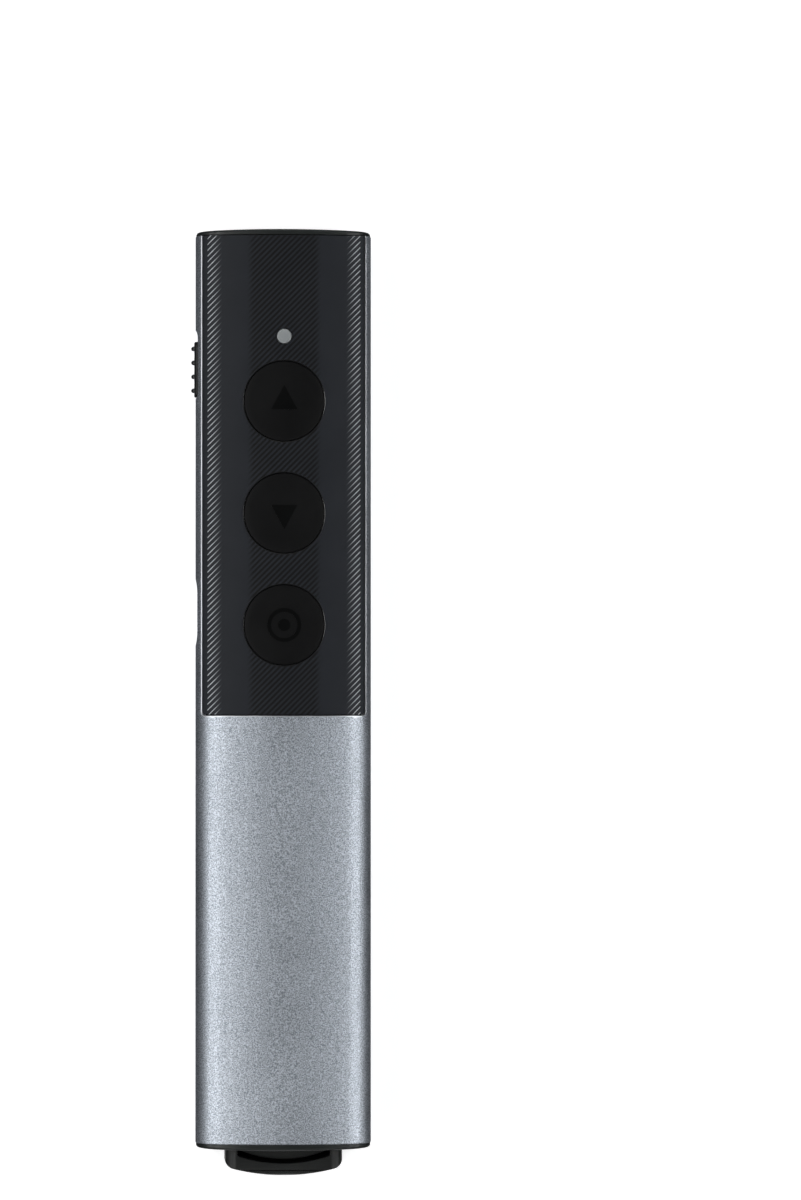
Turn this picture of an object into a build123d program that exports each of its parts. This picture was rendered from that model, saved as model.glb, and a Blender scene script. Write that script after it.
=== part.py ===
from build123d import *

# Wireless presentation clicker: an aluminium sleeve over a moulded core that carries three keys,
# a sliding power switch, a laser and a pull-out USB receiver.
#
# Frame: +Z comes out of the key face, +Y points to the laser end, and the origin lies on the flat
# back, half way along the sleeve. All sizes are in millimetres.

import os
from math import sqrt

os.makedirs("parts", exist_ok=True)

# ---------------------------------------------------------------- sleeve
body_width = 26.0
body_thickness = 12.0
sleeve_length = 134.2
sleeve_wall = 1.0
crown_radius = 45.0          # front face, across the width
flank_bulge = 3.6            # each flank stands out this far past the edge of the flat back
shoulder_radius = 4.3        # front face into the flank
back_corner_radius = 4.0     # flat back into the flank
core_height = 6.0            # centreline of board, laser, port, slider and receiver above the back
seam_chamfer = 0.12          # on both ends of the sleeve

# ---------------------------------------------------------------- end caps
top_cap_thickness = 0.85     # at the apex of its domed end
bottom_cap_thickness = 0.94
cap_dome = 0.3               # how far each end face bulges
cap_edge_radius = 0.42
cap_seat = 0.1               # cap outline inside the sleeve outline
cap_wall = 1.2               # of the hollow plug on the top cap
top_plug_depth = 3.2
bottom_plug_depth = 6.5
plug_gap = 0.1

# ---------------------------------------------------------------- window and control panel
window_past_keys = 13.4      # from the last key's centre to the window's lower end
window_flange = 0.9          # sleeve left beside the window, seen from the front
window_corner = 0.5
window_chamfer = 0.16
ledge_land = 0.2             # ledge under the panel, above the slider slot
panel_gap = 0.1
panel_wall = 1.2
hook_reach = 1.6             # tongue of the panel hooked under the sleeve
hook_root = 1.5
hook_width = 16.0
hook_thickness = 0.8

# ---------------------------------------------------------------- keys
key_diameter = 11.8
key_pitch = 16.5
first_key_from_end = 24.6    # upper key centre, from the laser end of the sleeve
key_gap = 0.12
key_recess = 0.05            # key face below the panel face
key_edge_radius = 0.16
key_travel = 0.35
key_rest_gap = 0.1           # flange below the panel
key_flange_reach = 0.8
key_flange_thickness = 0.6
key_tab_width = 1.6
key_tab_reach = 0.5
key_stem_diameter = 3.2
collar_gap = 0.15
collar_wall = 0.7
collar_skirt = 0.05          # collar reaches this far below the flange of a pressed key

# ---------------------------------------------------------------- indicator
indicator_from_end = 15.0
light_pipe_diameter = 2.16
light_pipe_gap = 0.05
light_pipe_flange_reach = 0.6
light_pipe_flange_thickness = 0.6
light_pipe_air = 0.3         # above the LED
led_length = 1.6
led_width = 0.8
led_height = 0.8
led_lens_height = 0.5

# ---------------------------------------------------------------- circuit board
board_thickness = 1.0
board_side_gap = 0.15
board_end_gap = 0.7
board_corner = 1.0
board_screw_edge = 2.1       # screw centre from the long edge
board_screw_end = 3.6        # screw centre from the short edge
board_screw_diameter = 1.4
board_screw_clearance = 0.1
board_screw_head_diameter = 2.4
board_screw_head = 0.8
board_screw_bite = 2.4       # thread in the boss
boss_wall = 1.1
post_diameter = 2.4          # under the board below each key

# ---------------------------------------------------------------- tact switches
tact_size = 5.2
tact_height = 1.5
tact_floor = 0.4
tact_chamfer = 0.2
tact_leg_width = 0.7
tact_leg_spread = 3.4
tact_leg_reach = 0.6
tact_leg_rise = 0.7
tact_leg_thickness = 0.25
plunger_diameter = 2.6
plunger_gap = 0.1
plunger_stand = 0.5          # above the switch
plunger_floor_gap = 0.1      # left under the plunger when the key is down

# ---------------------------------------------------------------- chips
radio_chip_size = 4.0
radio_chip_height = 0.9
charge_chip_length = 2.9
charge_chip_width = 1.6
charge_chip_height = 1.1
crystal_length = 3.2
crystal_width = 2.5
crystal_height = 0.7
chip_offset = 6.2            # from the board's centreline
chip_spacing = 5.6           # from the radio chip to its crystal

# ---------------------------------------------------------------- power slider
slider_from_end = 19.75      # slider centre at rest, from the laser end of the sleeve
slider_length = 8.2
slider_height = 3.9
slider_travel = 1.5
slider_gap = 0.15
slider_corner = 1.0
slider_stand = 0.2           # face above the flank
slider_ribs = 4
slider_rib_pitch = 2.07
slider_rib_width = 0.62
slider_rib_height = 0.45
slider_rib_margin = 0.35     # face left above and below the ribs
slider_flange_reach = 0.4    # flange above and below the slot
slider_flange_overlap = 0.3  # flange past the slot's ends at either stop
slider_flange_thickness = 0.4
slider_flange_depth = 1.9    # flange outer face, in from the flank
slider_notch_gap = 0.15      # chassis cut away round the flange
lever_width = 1.3
lever_thickness = 0.7
lever_gap = 0.1
lever_root = 1.0             # lever inside the switch case
lever_reach = 1.1            # lever out of the switch case
switch_case_length = 6.7
switch_case_width = 2.6
switch_case_height = 1.4
switch_case_inset = 0.1      # from the board's edge

# ---------------------------------------------------------------- charging port
port_from_window_end = 15.3  # port centre, from the window's lower end
port_width = 8.94            # metal shell of a USB-C socket
port_height = 3.26
port_wall = 0.3
port_depth = 7.4
port_gap = 0.13
port_recess = 0.5            # shell mouth, in from the flank
port_chamfer = 0.4
port_tongue_width = 6.7
port_tongue_thickness = 0.7
port_tongue_recess = 1.0
port_block_depth = 1.8
port_wing_length = 3.0
port_wing_reach = 0.8
port_wing_thickness = 0.3

# ---------------------------------------------------------------- laser
laser_diameter = 6.0
laser_length = 9.0
laser_bore = 3.6
laser_bore_depth = 4.6
laser_groove = 0.3           # grip groove round the barrel
laser_groove_width = 0.8
laser_seat_depth = 1.2       # barrel in the back of the top cap
laser_fit = 0.05
laser_lens_thickness = 1.6
laser_lens_recess = 0.6
laser_board_thickness = 0.8
laser_aperture = 3.2
laser_window_diameter = 4.4
laser_window_thickness = 0.8
laser_window_recess = 0.12
laser_window_fit = 0.03
laser_pin_diameter = 0.5
laser_pin_pitch = 1.4
laser_pin_overlap = 1.2      # pin lying on the board
cradle_width = 8.0
cradle_thickness = 2.4
cradle_setback = 1.0         # rear cradle, in from the barrel's rear end

# ---------------------------------------------------------------- chassis and battery
core_gap = 0.15
chassis_wall = 1.2
chassis_rim = 0.4            # side wall above the board
chassis_end_gap = 0.2
cell_side_gap = 1.15         # cell inside the tray at its widest
cell_thickness = 5.0
cell_corner = 0.9
cell_end_gap = 0.2
cell_bay_gap = 6.52          # from the receiver bay to the first rib
cell_terminal_length = 2.4   # folded end that covers the protection board
cell_terminal_drop = 0.8
tape_thickness = 0.5
tape_margin = 2.6
rib_thickness = 1.0
rib_height = 1.2
rib_width = 14.0
connector_width = 6.0
connector_length = 4.0
connector_height = 2.0
connector_setback = 0.4      # from the board's end
lead_diameter = 0.9
lead_pitch = 2.4
lead_run = 8.12              # from the cell to the connector
lead_straight = 1.3          # at each end of a lead
lead_bow = 0.8               # sideways slack in each lead

# ---------------------------------------------------------------- receiver and its bay
plug_width = 12.0            # metal shell of a USB-A plug
plug_height = 4.5
plug_wall = 0.3
plug_corner = 0.5
plug_exposed = 12.0
plug_embedded = 3.0
plug_window_length = 2.0
plug_window_width = 2.4
plug_window_spacing = 5.2
plug_window_from_tip = 5.2
plug_tongue_thickness = 1.84
plug_tongue_gap = 0.2
plug_tongue_recess = 0.6
contact_count = 4
contact_pitch = 2.1
contact_width = 1.1
contact_length = 7.4
contact_thickness = 0.15
contact_from_tip = 1.4
receiver_board_thickness = 0.8
receiver_board_length = 5.6
receiver_board_gap = 0.25
grip_thickness = 7.0
grip_corner = 2.0
grip_inside = 5.5            # grip inside the bottom cap
loop_reach = 3.7             # grip outside the bottom cap
loop_bar = 1.75
loop_side = 1.86
loop_outer_radius = 30.0
loop_inner_radius = 21.0
loop_corner = 1.6
loop_pocket_corner = 0.4
loop_pocket_start = 0.4      # pocket begins inside the cap's opening
loop_pocket_depth = 1.3
loop_tongue_reach = 1.2
loop_tongue_radius = 16.4
loop_web = 1.2               # left between the grooves beside the bar
loop_edge_radius = 0.6
bay_gap = 0.15
bay_wall = 1.2
bay_corner = 1.2
bay_end_gap = 0.3
bay_end_wall = 1.6
magnet_diameter = 4.0
magnet_thickness = 1.0
cap_screw_from_flank = 2.6
cap_screw_diameter = 1.6
cap_screw_head_diameter = 2.4
cap_screw_head = 0.9
cap_screw_sink = 0.2         # head below the end face
cap_screw_bite = 5.0
cap_screw_clearance = 0.1
cap_screw_web = 0.25         # left between a screw's recess and the receiver's opening
cap_boss_diameter = 3.6
cap_boss_length = 6.0
drive_width = 0.35           # cross recess in every screw head
drive_length = 1.3
drive_depth = 0.45

# ---------------------------------------------------------------- stations worked out from the above
sleeve_top = sleeve_length / 2
sleeve_bottom = -sleeve_length / 2
half_width = body_width / 2
crown_centre = body_thickness - crown_radius
flank_radius = (core_height**2 + flank_bulge**2) / (2 * flank_bulge)

slot_length = slider_length + slider_travel + 2 * slider_gap
slot_height = slider_height + 2 * slider_gap
slider_rest = sleeve_top - slider_from_end
slot_centre = slider_rest + slider_travel / 2

window_length = first_key_from_end + 2 * key_pitch + window_past_keys
window_bottom = sleeve_top - window_length
window_half = half_width - window_flange
window_sill = core_height + slot_height / 2 + ledge_land
panel_half = window_half - panel_gap
panel_bottom = window_bottom + panel_gap

key_radius = key_diameter / 2
key_stations = {
    "up": sleeve_top - first_key_from_end,
    "down": sleeve_top - first_key_from_end - key_pitch,
    "laser": sleeve_top - first_key_from_end - 2 * key_pitch,
}
flange_radius = key_radius + key_flange_reach
collar_inner = flange_radius + collar_gap
collar_outer = collar_inner + collar_wall

board_top = core_height + board_thickness / 2
board_bottom = core_height - board_thickness / 2
core_inset = sleeve_wall + core_gap
tray_inset = core_inset + chassis_wall
board_half = half_width - tray_inset - board_side_gap

laser_front = sleeve_top - top_plug_depth + laser_seat_depth
laser_rear = laser_front - laser_length
board_high = laser_rear - laser_board_thickness - board_end_gap
board_low = window_bottom + board_end_gap
board_screw_x = board_half - board_screw_edge
board_screws_at = [
    (board_screw_x, board_high - board_screw_end),
    (board_screw_x, board_low + board_screw_end),
    (-board_screw_x, board_low + board_screw_end),
    (-board_screw_x, (key_stations["up"] + key_stations["down"]) / 2),
]

tact_top = board_top + tact_height
plunger_top = tact_top + plunger_stand
plunger_low = board_top + tact_floor + plunger_floor_gap + key_travel

indicator_y = sleeve_top - indicator_from_end
port_y = window_bottom + port_from_window_end
port_mouth = -half_width + port_recess
port_back = port_mouth + port_depth

switch_face = -board_half + switch_case_inset
lever_height = board_top + switch_case_height / 2
flange_outer = -half_width + slider_flange_depth
flange_inner = flange_outer + slider_flange_thickness
flange_half_length = slot_length / 2 + slider_travel / 2 + slider_flange_overlap
flange_half_height = slider_height / 2 + slider_flange_reach

top_cap_apex = sleeve_top + top_cap_thickness
bottom_cap_apex = sleeve_bottom - bottom_cap_thickness
top_plug_back = sleeve_top - top_plug_depth
bottom_plug_back = sleeve_bottom + bottom_plug_depth
chassis_high = top_plug_back - chassis_end_gap
chassis_low = bottom_plug_back + chassis_end_gap

cap_screw_x = half_width - cap_screw_from_flank
cap_recess_radius = cap_screw_head_diameter / 2 + cap_screw_clearance
grip_width = 2 * (cap_screw_x - cap_recess_radius - cap_screw_web - bay_gap)
grip_inner = bottom_cap_apex + grip_inside
grip_outer = bottom_cap_apex - loop_reach
plug_tip = grip_inner + plug_exposed
plug_root = grip_inner - plug_embedded
bay_floor = plug_tip + bay_end_gap
bay_end = bay_floor + bay_end_wall
connector_face = board_low + connector_setback
cell_low = bay_end + cell_bay_gap + rib_thickness + cell_end_gap
cell_high = connector_face - lead_run
cell_base = tray_inset + tape_thickness
cell_width = 2 * (half_width - tray_inset - cell_side_gap)


# ---------------------------------------------------------------- shared shapes
def above(height):
    """Everything over a height, as a profile in (x, z)."""
    reach = 2 * body_thickness
    return Pos(0, height + reach / 2) * Rectangle(2 * body_width, reach)


def below(height):
    """Everything under a height, as a profile in (x, z)."""
    reach = 2 * body_thickness
    return Pos(0, height - reach / 2) * Rectangle(2 * body_width, reach)


def body_outline(inset=0.0):
    """Cross-section as (x, z): flat back, rounded flanks and a crowned front, moved in by an inset."""
    flanks = SlotOverall(body_width - 2 * inset, 2 * (flank_radius - inset))
    face = Pos(0, core_height) * flanks & above(inset)
    face &= Pos(0, crown_centre) * Circle(crown_radius - inset)
    lower = face.vertices().group_by(Axis.Y)[0]
    face = fillet(lower, back_corner_radius - inset)
    upper = face.vertices().group_by(Axis.Y)[-1]
    return fillet(upper, shoulder_radius - inset)


def crown_height(x, inset=0.0):
    """Height of the crowned front at a distance x from the centreline, moved in by an inset."""
    return crown_centre + sqrt((crown_radius - inset) ** 2 - x**2)


def along_y(profile, y_low, y_high):
    """Extrude a profile drawn as (x, z) between two stations along the body."""
    return extrude(Plane.XZ.offset(-y_high) * profile, y_high - y_low)


def along_x(profile, x_low, x_high):
    """Extrude a profile drawn as (y, z) between two stations across the body."""
    return extrude(Plane.YZ.offset(x_low) * profile, x_high - x_low)


def along_z(profile, z_low, z_high):
    """Extrude a profile drawn as (x, y) between two heights."""
    return extrude(Plane.XY.offset(z_low) * profile, z_high - z_low)


def block(x_low, x_high, y_low, y_high, z_low, z_high):
    """A plain block between two corners."""
    size = Box(x_high - x_low, y_high - y_low, z_high - z_low)
    return Pos((x_low + x_high) / 2, (y_low + y_high) / 2, (z_low + z_high) / 2) * size


def disc(radius, x, y, z_low, z_high):
    """An upright round bar."""
    return along_z(Pos(x, y) * Circle(radius), z_low, z_high)


def rod_y(radius, x, z, y_low, y_high):
    """A round bar along the body."""
    return along_y(Pos(x, z) * Circle(radius), y_low, y_high)


def mirrored_pair(shape):
    """A shape and its mirror image on the other side of the centreline."""
    return shape + mirror(shape, about=Plane.YZ)


def save(shape, node):
    """Write one sub-part as a STEP file named after its node."""
    export_step(shape, f"parts/{node}.step")


def save_group(shapes, node):
    """Write several equal pieces as separate solids of one node."""
    solids = [solid for shape in shapes for solid in shape.solids()]
    export_step(Compound(children=solids), f"parts/{node}.step")


# ---------------------------------------------------------------- sleeve and its openings
def window_tool():
    """The milled window: a rounded slot that runs out over the laser end."""
    length = window_length + 2 * window_corner
    plan = Pos(0, window_bottom + length / 2)
    plan *= RectangleRounded(2 * window_half, length, window_corner)
    return along_z(plan, window_sill, body_thickness + 1)


def slider_slot():
    """The slot in the left flank for the power slider, as a profile in (y, z)."""
    return Pos(slot_centre, core_height) * RectangleRounded(slot_length, slot_height, slider_corner)


def port_shape(grow=0.0):
    """The round-ended outline of the charging port, as a profile in (y, z)."""
    width = port_width + 2 * grow
    height = port_height + 2 * grow
    return Pos(port_y, core_height) * SlotOverall(width, height)


def port_lead_in():
    """The countersunk edge of the port opening in the flank."""
    outside = Plane.YZ.offset(-half_width) * port_shape(port_gap + port_chamfer)
    inside = Plane.YZ.offset(-half_width + port_chamfer) * port_shape(port_gap)
    return loft([outside, inside])


def window_rim(tube):
    """The edges where the window's walls come out of the front of the sleeve."""
    edges = ShapeList()
    for wall in tube.faces():
        centre = wall.center()
        upright = abs(wall.normal_at().Z) < 0.01
        inside = abs(centre.X) < half_width - window_flange / 2
        along = window_bottom - panel_gap < centre.Y < sleeve_top - seam_chamfer
        if upright and inside and along and centre.Z > window_sill:
            edges.append(wall.edges().sort_by(Axis.Z)[-1])
    return edges


def make_sleeve():
    tube = along_y(body_outline() - body_outline(sleeve_wall), sleeve_bottom, sleeve_top)
    ends = tube.edges().filter_by_position(Axis.Y, sleeve_top, sleeve_top)
    ends += tube.edges().filter_by_position(Axis.Y, sleeve_bottom, sleeve_bottom)
    tube = chamfer(ends, seam_chamfer)
    tube -= window_tool()
    tube = chamfer(window_rim(tube), window_chamfer)
    through_wall = (-half_width - 1, flange_outer)
    tube -= along_x(slider_slot(), *through_wall)
    tube -= along_x(port_shape(port_gap), *through_wall)
    tube -= port_lead_in()
    return tube


save(make_sleeve(), "sleeve")


# ---------------------------------------------------------------- control panel
def key_collar(y):
    """Ring under the panel that guides a key's flange and stops it from turning."""
    low = crown_height(flange_radius, panel_wall + key_rest_gap) - key_flange_thickness
    low -= key_travel + collar_skirt
    ring = disc(collar_outer, 0, y, low, body_thickness) - disc(collar_inner, 0, y, low, body_thickness)
    notch_half = key_tab_width / 2 + collar_gap
    notch_reach = collar_inner + key_tab_reach
    ring -= block(-notch_reach, notch_reach, y - notch_half, y + notch_half, low, body_thickness)
    return ring


def panel_hook():
    """Tongue that slips under the sleeve at the lower end of the panel."""
    strip = body_outline(panel_wall) - body_outline(panel_wall + hook_thickness)
    strip &= above(window_sill) & Pos(0, body_thickness) * Rectangle(hook_width, body_thickness)
    return along_y(strip, panel_bottom - hook_reach, panel_bottom + hook_root)


def make_control_panel():
    length = sleeve_top - panel_bottom + 2 * window_corner
    plan = Pos(0, panel_bottom + length / 2)
    plan *= RectangleRounded(2 * panel_half, length, window_corner - panel_gap)
    shell = body_outline() - body_outline(panel_wall)
    panel = along_y(shell, panel_bottom, sleeve_top)
    panel &= along_z(plan, window_sill, body_thickness + 1)
    panel += panel_hook()
    collars = [key_collar(y) for y in key_stations.values()]
    room = along_y(body_outline(panel_wall / 2), panel_bottom, sleeve_top)
    for collar in collars:
        panel += collar & room
    for y in key_stations.values():
        panel -= disc(key_radius + key_gap, 0, y, window_sill, body_thickness + 1)
    panel -= disc(light_pipe_diameter / 2 + light_pipe_gap, 0, indicator_y, window_sill, body_thickness + 1)
    return panel


save(make_control_panel(), "control_panel")


# ---------------------------------------------------------------- keys and their switches
def make_key(y):
    """Round key with a crowned face, a guided flange with two tabs, and a stem."""
    flange_low = crown_height(flange_radius, panel_wall + key_rest_gap) - key_flange_thickness
    reach = collar_outer
    face_room = along_y(body_outline(key_recess), y - reach, y + reach)
    flange_room = along_y(body_outline(panel_wall + key_rest_gap), y - reach, y + reach)
    face = disc(key_radius, 0, y, flange_low, body_thickness + 1) & face_room
    rim = face.faces().sort_by(Axis.Z)[-1].edges()
    face = fillet(rim, key_edge_radius)
    flange = disc(flange_radius, 0, y, flange_low, body_thickness)
    reach_out, side = flange_radius + key_tab_reach, key_tab_width / 2
    flange += block(-reach_out, reach_out, y - side, y + side, flange_low, body_thickness)
    stem = disc(key_stem_diameter / 2, 0, y, plunger_top, flange_low)
    return face + (flange & flange_room) + stem


def make_plunger(y):
    """Round pin of a tact switch, with an eased top."""
    pin = disc(plunger_diameter / 2, 0, y, plunger_low, plunger_top)
    return fillet(pin.edges().group_by(Axis.Z)[-1], plunger_gap)


def make_tact_case(y):
    """Square switch case with a chamfered top and the well that its plunger sinks into."""
    half = tact_size / 2
    case = block(-half, half, y - half, y + half, board_top, tact_top)
    case = chamfer(case.faces().sort_by(Axis.Z)[-1].edges(), tact_chamfer)
    case -= disc(plunger_diameter / 2 + plunger_gap, 0, y, board_top + tact_floor, tact_top)
    return case


def make_tact_legs(y):
    """Four bent legs that solder a switch to the board."""
    legs = []
    side = tact_size / 2
    for offset in (-tact_leg_spread / 2, tact_leg_spread / 2):
        low, high = y + offset - tact_leg_width / 2, y + offset + tact_leg_width / 2
        foot = block(side, side + tact_leg_reach, low, high, board_top, board_top + tact_leg_thickness)
        riser = block(side, side + tact_leg_thickness, low, high, board_top, board_top + tact_leg_rise)
        leg = foot + riser
        legs += [leg, mirror(leg, about=Plane.YZ)]
    return legs


for key_name, key_y in key_stations.items():
    save(make_key(key_y), f"key_{key_name}")
    save(make_plunger(key_y), f"plunger_{key_name}")
    save(make_tact_case(key_y), f"tact_switch_{key_name}")
save_group([leg for y in key_stations.values() for leg in make_tact_legs(y)], "tact_switch_legs")


# ---------------------------------------------------------------- indicator
def make_light_pipe():
    """Clear rod flush with the panel face, held by a flange under the panel."""
    low = board_top + led_height + light_pipe_air
    flange_low = body_thickness - panel_wall - light_pipe_flange_thickness
    reach = light_pipe_diameter / 2 + light_pipe_flange_reach
    span = (indicator_y - reach, indicator_y + reach)
    rod = disc(light_pipe_diameter / 2, 0, indicator_y, low, body_thickness + 1)
    flange = disc(reach, 0, indicator_y, flange_low, body_thickness)
    return (rod & along_y(body_outline(), *span)) + (flange & along_y(body_outline(panel_wall), *span))


def make_led():
    """Chip LED: a flat carrier with a smaller lens block on it."""
    lens_low = board_top + led_height - led_lens_height
    half, side = led_length / 2, led_width / 2
    carrier = block(-half, half, indicator_y - side, indicator_y + side, board_top, lens_low)
    shrink = led_length / 6
    top = board_top + led_height
    lens = block(-half + shrink, half - shrink, indicator_y - side, indicator_y + side, lens_low, top)
    return carrier + lens


save(make_light_pipe(), "light_pipe")
save(make_led(), "indicator_led")


# ---------------------------------------------------------------- circuit board and its chips
def make_circuit_board():
    """Board notched for the charging port, with a clearance hole at each screw."""
    length = board_high - board_low
    plan = Pos(0, board_low + length / 2) * RectangleRounded(2 * board_half, length, board_corner)
    board = along_z(plan, board_bottom, board_top)
    side, notch_end = port_width / 2 + board_side_gap, port_back + board_side_gap
    board -= block(-half_width, notch_end, port_y - side, port_y + side, board_bottom, board_top)
    for x, y in board_screws_at:
        hole = board_screw_diameter / 2 + board_screw_clearance
        board -= disc(hole, x, y, board_bottom, board_top)
    return board


def chip(length, width, height, x, y):
    """A chip package lying on the board, with a small bevel round its top."""
    body = block(x - length / 2, x + length / 2, y - width / 2, y + width / 2, board_top, board_top + height)
    return chamfer(body.faces().sort_by(Axis.Z)[-1].edges(), height / 6)


radio_y = (key_stations["up"] + key_stations["down"]) / 2
charge_y = (key_stations["down"] + key_stations["laser"]) / 2
save(make_circuit_board(), "circuit_board")
save(chip(radio_chip_size, radio_chip_size, radio_chip_height, chip_offset, radio_y), "radio_chip")
crystal_y = radio_y - chip_spacing
save(chip(crystal_width, crystal_length, crystal_height, chip_offset, crystal_y), "crystal_can")
save(chip(charge_chip_width, charge_chip_length, charge_chip_height, chip_offset, charge_y), "charge_chip")


# ---------------------------------------------------------------- power slider and its switch
def slider_body_profile():
    """Outline of the slider where it passes through the flank, as (y, z)."""
    corner = slider_corner - slider_gap
    return Pos(slider_rest, core_height) * RectangleRounded(slider_length, slider_height, corner)


def make_power_slider():
    """Ribbed thumb piece that follows the curve of the flank, with a flange inside the sleeve."""
    span = (slider_rest - slider_length, slider_rest + slider_length)
    outer = -half_width - slider_stand - slider_rib_height
    piece = along_x(slider_body_profile(), outer, flange_outer)
    piece &= along_y(body_outline(-slider_stand), *span)
    rib_top = slider_height / 2 - slider_rib_margin
    for index in range(slider_ribs):
        y = slider_rest + (index - (slider_ribs - 1) / 2) * slider_rib_pitch
        rib = Pos(y, core_height) * Rectangle(slider_rib_width, 2 * rib_top)
        ridge = along_x(rib, outer, -half_width + sleeve_wall)
        piece += ridge & along_y(body_outline(-slider_stand - slider_rib_height), *span)
    plate = Rectangle(2 * flange_half_length, 2 * flange_half_height)
    plate = Pos(slider_rest, core_height) * plate
    piece += along_x(plate, flange_outer, flange_inner)
    half = lever_width / 2 + lever_gap
    rise = lever_thickness / 2 + lever_gap
    tip = switch_face - lever_reach - lever_gap
    low, high = lever_height - rise, lever_height + rise
    piece -= block(tip, flange_inner, slider_rest - half, slider_rest + half, low, high)
    return piece


def make_slide_switch_case():
    """Metal-cased slide switch at the board's edge, slotted for its lever."""
    low, high = slot_centre - switch_case_length / 2, slot_centre + switch_case_length / 2
    back, roof = switch_face + switch_case_width, board_top + switch_case_height
    case = block(switch_face, back, low, high, board_top, roof)
    reach = slider_travel / 2 + lever_width / 2 + lever_gap
    rise = lever_thickness / 2 + lever_gap
    depth = switch_face + lever_root + lever_gap
    slot = (slot_centre - reach, slot_centre + reach, lever_height - rise, lever_height + rise)
    case -= block(switch_face, depth, *slot)
    return case


def make_slide_switch_lever():
    """Lever that the slider carries along."""
    rise = lever_thickness / 2
    low, high = slider_rest - lever_width / 2, slider_rest + lever_width / 2
    tip, root = switch_face - lever_reach, switch_face + lever_root
    return block(tip, root, low, high, lever_height - rise, lever_height + rise)


save(make_power_slider(), "power_slider")
save(make_slide_switch_case(), "slide_switch_case")
save(make_slide_switch_lever(), "slide_switch_lever")


# ---------------------------------------------------------------- charging port
def make_port_shell():
    """Drawn metal shell of the charging socket, with solder wings on the board."""
    shell = along_x(port_shape() - port_shape(-port_wall), port_mouth, port_back)
    wing_end = port_back - port_wing_length / 2
    side = port_width / 2
    reach = side + port_wing_reach
    wing_top = board_top + port_wing_thickness
    lower_wing = (port_y - reach, port_y - side + port_wall)
    upper_wing = (port_y + side - port_wall, port_y + reach)
    for low, high in (lower_wing, upper_wing):
        shell += block(wing_end - port_wing_length, wing_end, low, high, board_top, wing_top)
    shell -= along_x(port_shape(-port_wall), port_mouth, port_back)
    return shell


def make_port_tongue():
    """Moulded block that closes the shell's back, and the contact tongue in front of it."""
    block_face = port_back - port_block_depth
    tongue = along_x(port_shape(-port_wall), block_face, port_back)
    blade = Pos(port_y, core_height) * Rectangle(port_tongue_width, port_tongue_thickness)
    return tongue + along_x(blade, port_mouth + port_tongue_recess, block_face)


save(make_port_shell(), "charge_port_shell")
save(make_port_tongue(), "charge_port_tongue")


# ---------------------------------------------------------------- laser
def make_laser_barrel():
    """Turned barrel, bored from the front, with two grip grooves."""
    radius = laser_diameter / 2
    barrel = rod_y(radius, 0, core_height, laser_rear, laser_front)
    barrel = chamfer(barrel.faces().sort_by(Axis.Y)[-1].edges(), laser_groove)
    barrel -= rod_y(laser_bore / 2, 0, core_height, laser_front - laser_bore_depth, laser_front)
    for share in (1 / 3, 1 / 2):
        y = laser_rear + share * laser_length
        cut = rod_y(radius, 0, core_height, y, y + laser_groove_width)
        barrel -= cut - rod_y(radius - laser_groove, 0, core_height, y, y + laser_groove_width)
    return barrel


def make_laser_lens():
    """Collimating lens, bulged towards the window."""
    front = laser_front - laser_lens_recess
    rod = rod_y(laser_bore / 2, 0, core_height, front - laser_lens_thickness, front)
    return fillet(rod.faces().sort_by(Axis.Y)[-1].edges(), laser_lens_recess)


def make_laser_pins():
    """Two pins from the laser board that lie on the main board."""
    height = board_top + laser_pin_diameter / 2
    span = (board_high - laser_pin_overlap, laser_rear - laser_board_thickness)
    return [rod_y(laser_pin_diameter / 2, side * laser_pin_pitch / 2, height, *span) for side in (-1, 1)]


def make_laser_window():
    """Clear disc in the counterbore of the top cap."""
    front = top_cap_apex - laser_window_recess
    return rod_y(laser_window_diameter / 2, 0, core_height, front - laser_window_thickness, front)


save(make_laser_barrel(), "laser_barrel")
save(make_laser_lens(), "laser_lens")
laser_board = rod_y(laser_diameter / 2, 0, core_height, laser_rear - laser_board_thickness, laser_rear)
save(laser_board, "laser_board")
save_group(make_laser_pins(), "laser_pins")
save(make_laser_window(), "laser_window")


# ---------------------------------------------------------------- end caps
def domed_plate(apex, seam):
    """Thin end plate whose outer face bulges across the width and has rounded edges."""
    half = half_width - cap_seat
    dome_radius = (half**2 + cap_dome**2) / (2 * cap_dome)
    outward = 1 if apex > seam else -1
    plate = along_y(body_outline(cap_seat), min(apex, seam), max(apex, seam))
    plate &= disc(dome_radius, 0, apex - outward * dome_radius, -body_thickness, 2 * body_thickness)
    outer_face = plate.faces().sort_by(lambda face: outward * face.center().Y)[-1]
    return fillet(outer_face.edges(), cap_edge_radius)


def make_top_cap():
    """Laser end cap: a domed plate on a hollow plug, with the seat for barrel and window."""
    plug_inset = panel_wall + plug_gap
    hollow = body_outline(plug_inset) - body_outline(plug_inset + cap_wall)
    boss = Pos(0, core_height) * Circle(laser_diameter / 2 + cap_wall) & body_outline(plug_inset)
    cap = domed_plate(top_cap_apex, sleeve_top)
    cap += along_y(hollow + boss, top_plug_back, sleeve_top)
    window_seat = top_cap_apex - laser_window_recess - laser_window_thickness
    seat_radius = laser_window_diameter / 2 + laser_window_fit
    cap -= rod_y(seat_radius, 0, core_height, window_seat, top_cap_apex + 1)
    cap -= rod_y(laser_diameter / 2 + laser_fit, 0, core_height, top_plug_back, laser_front)
    cap -= rod_y(laser_aperture / 2, 0, core_height, laser_front, window_seat)
    return cap


def grip_profile(grow=0.0):
    """Rounded section of the receiver's grip, as (x, z)."""
    width = grip_width + 2 * grow
    height = grip_thickness + 2 * grow
    return Pos(0, core_height) * RectangleRounded(width, height, grip_corner + grow)


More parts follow.
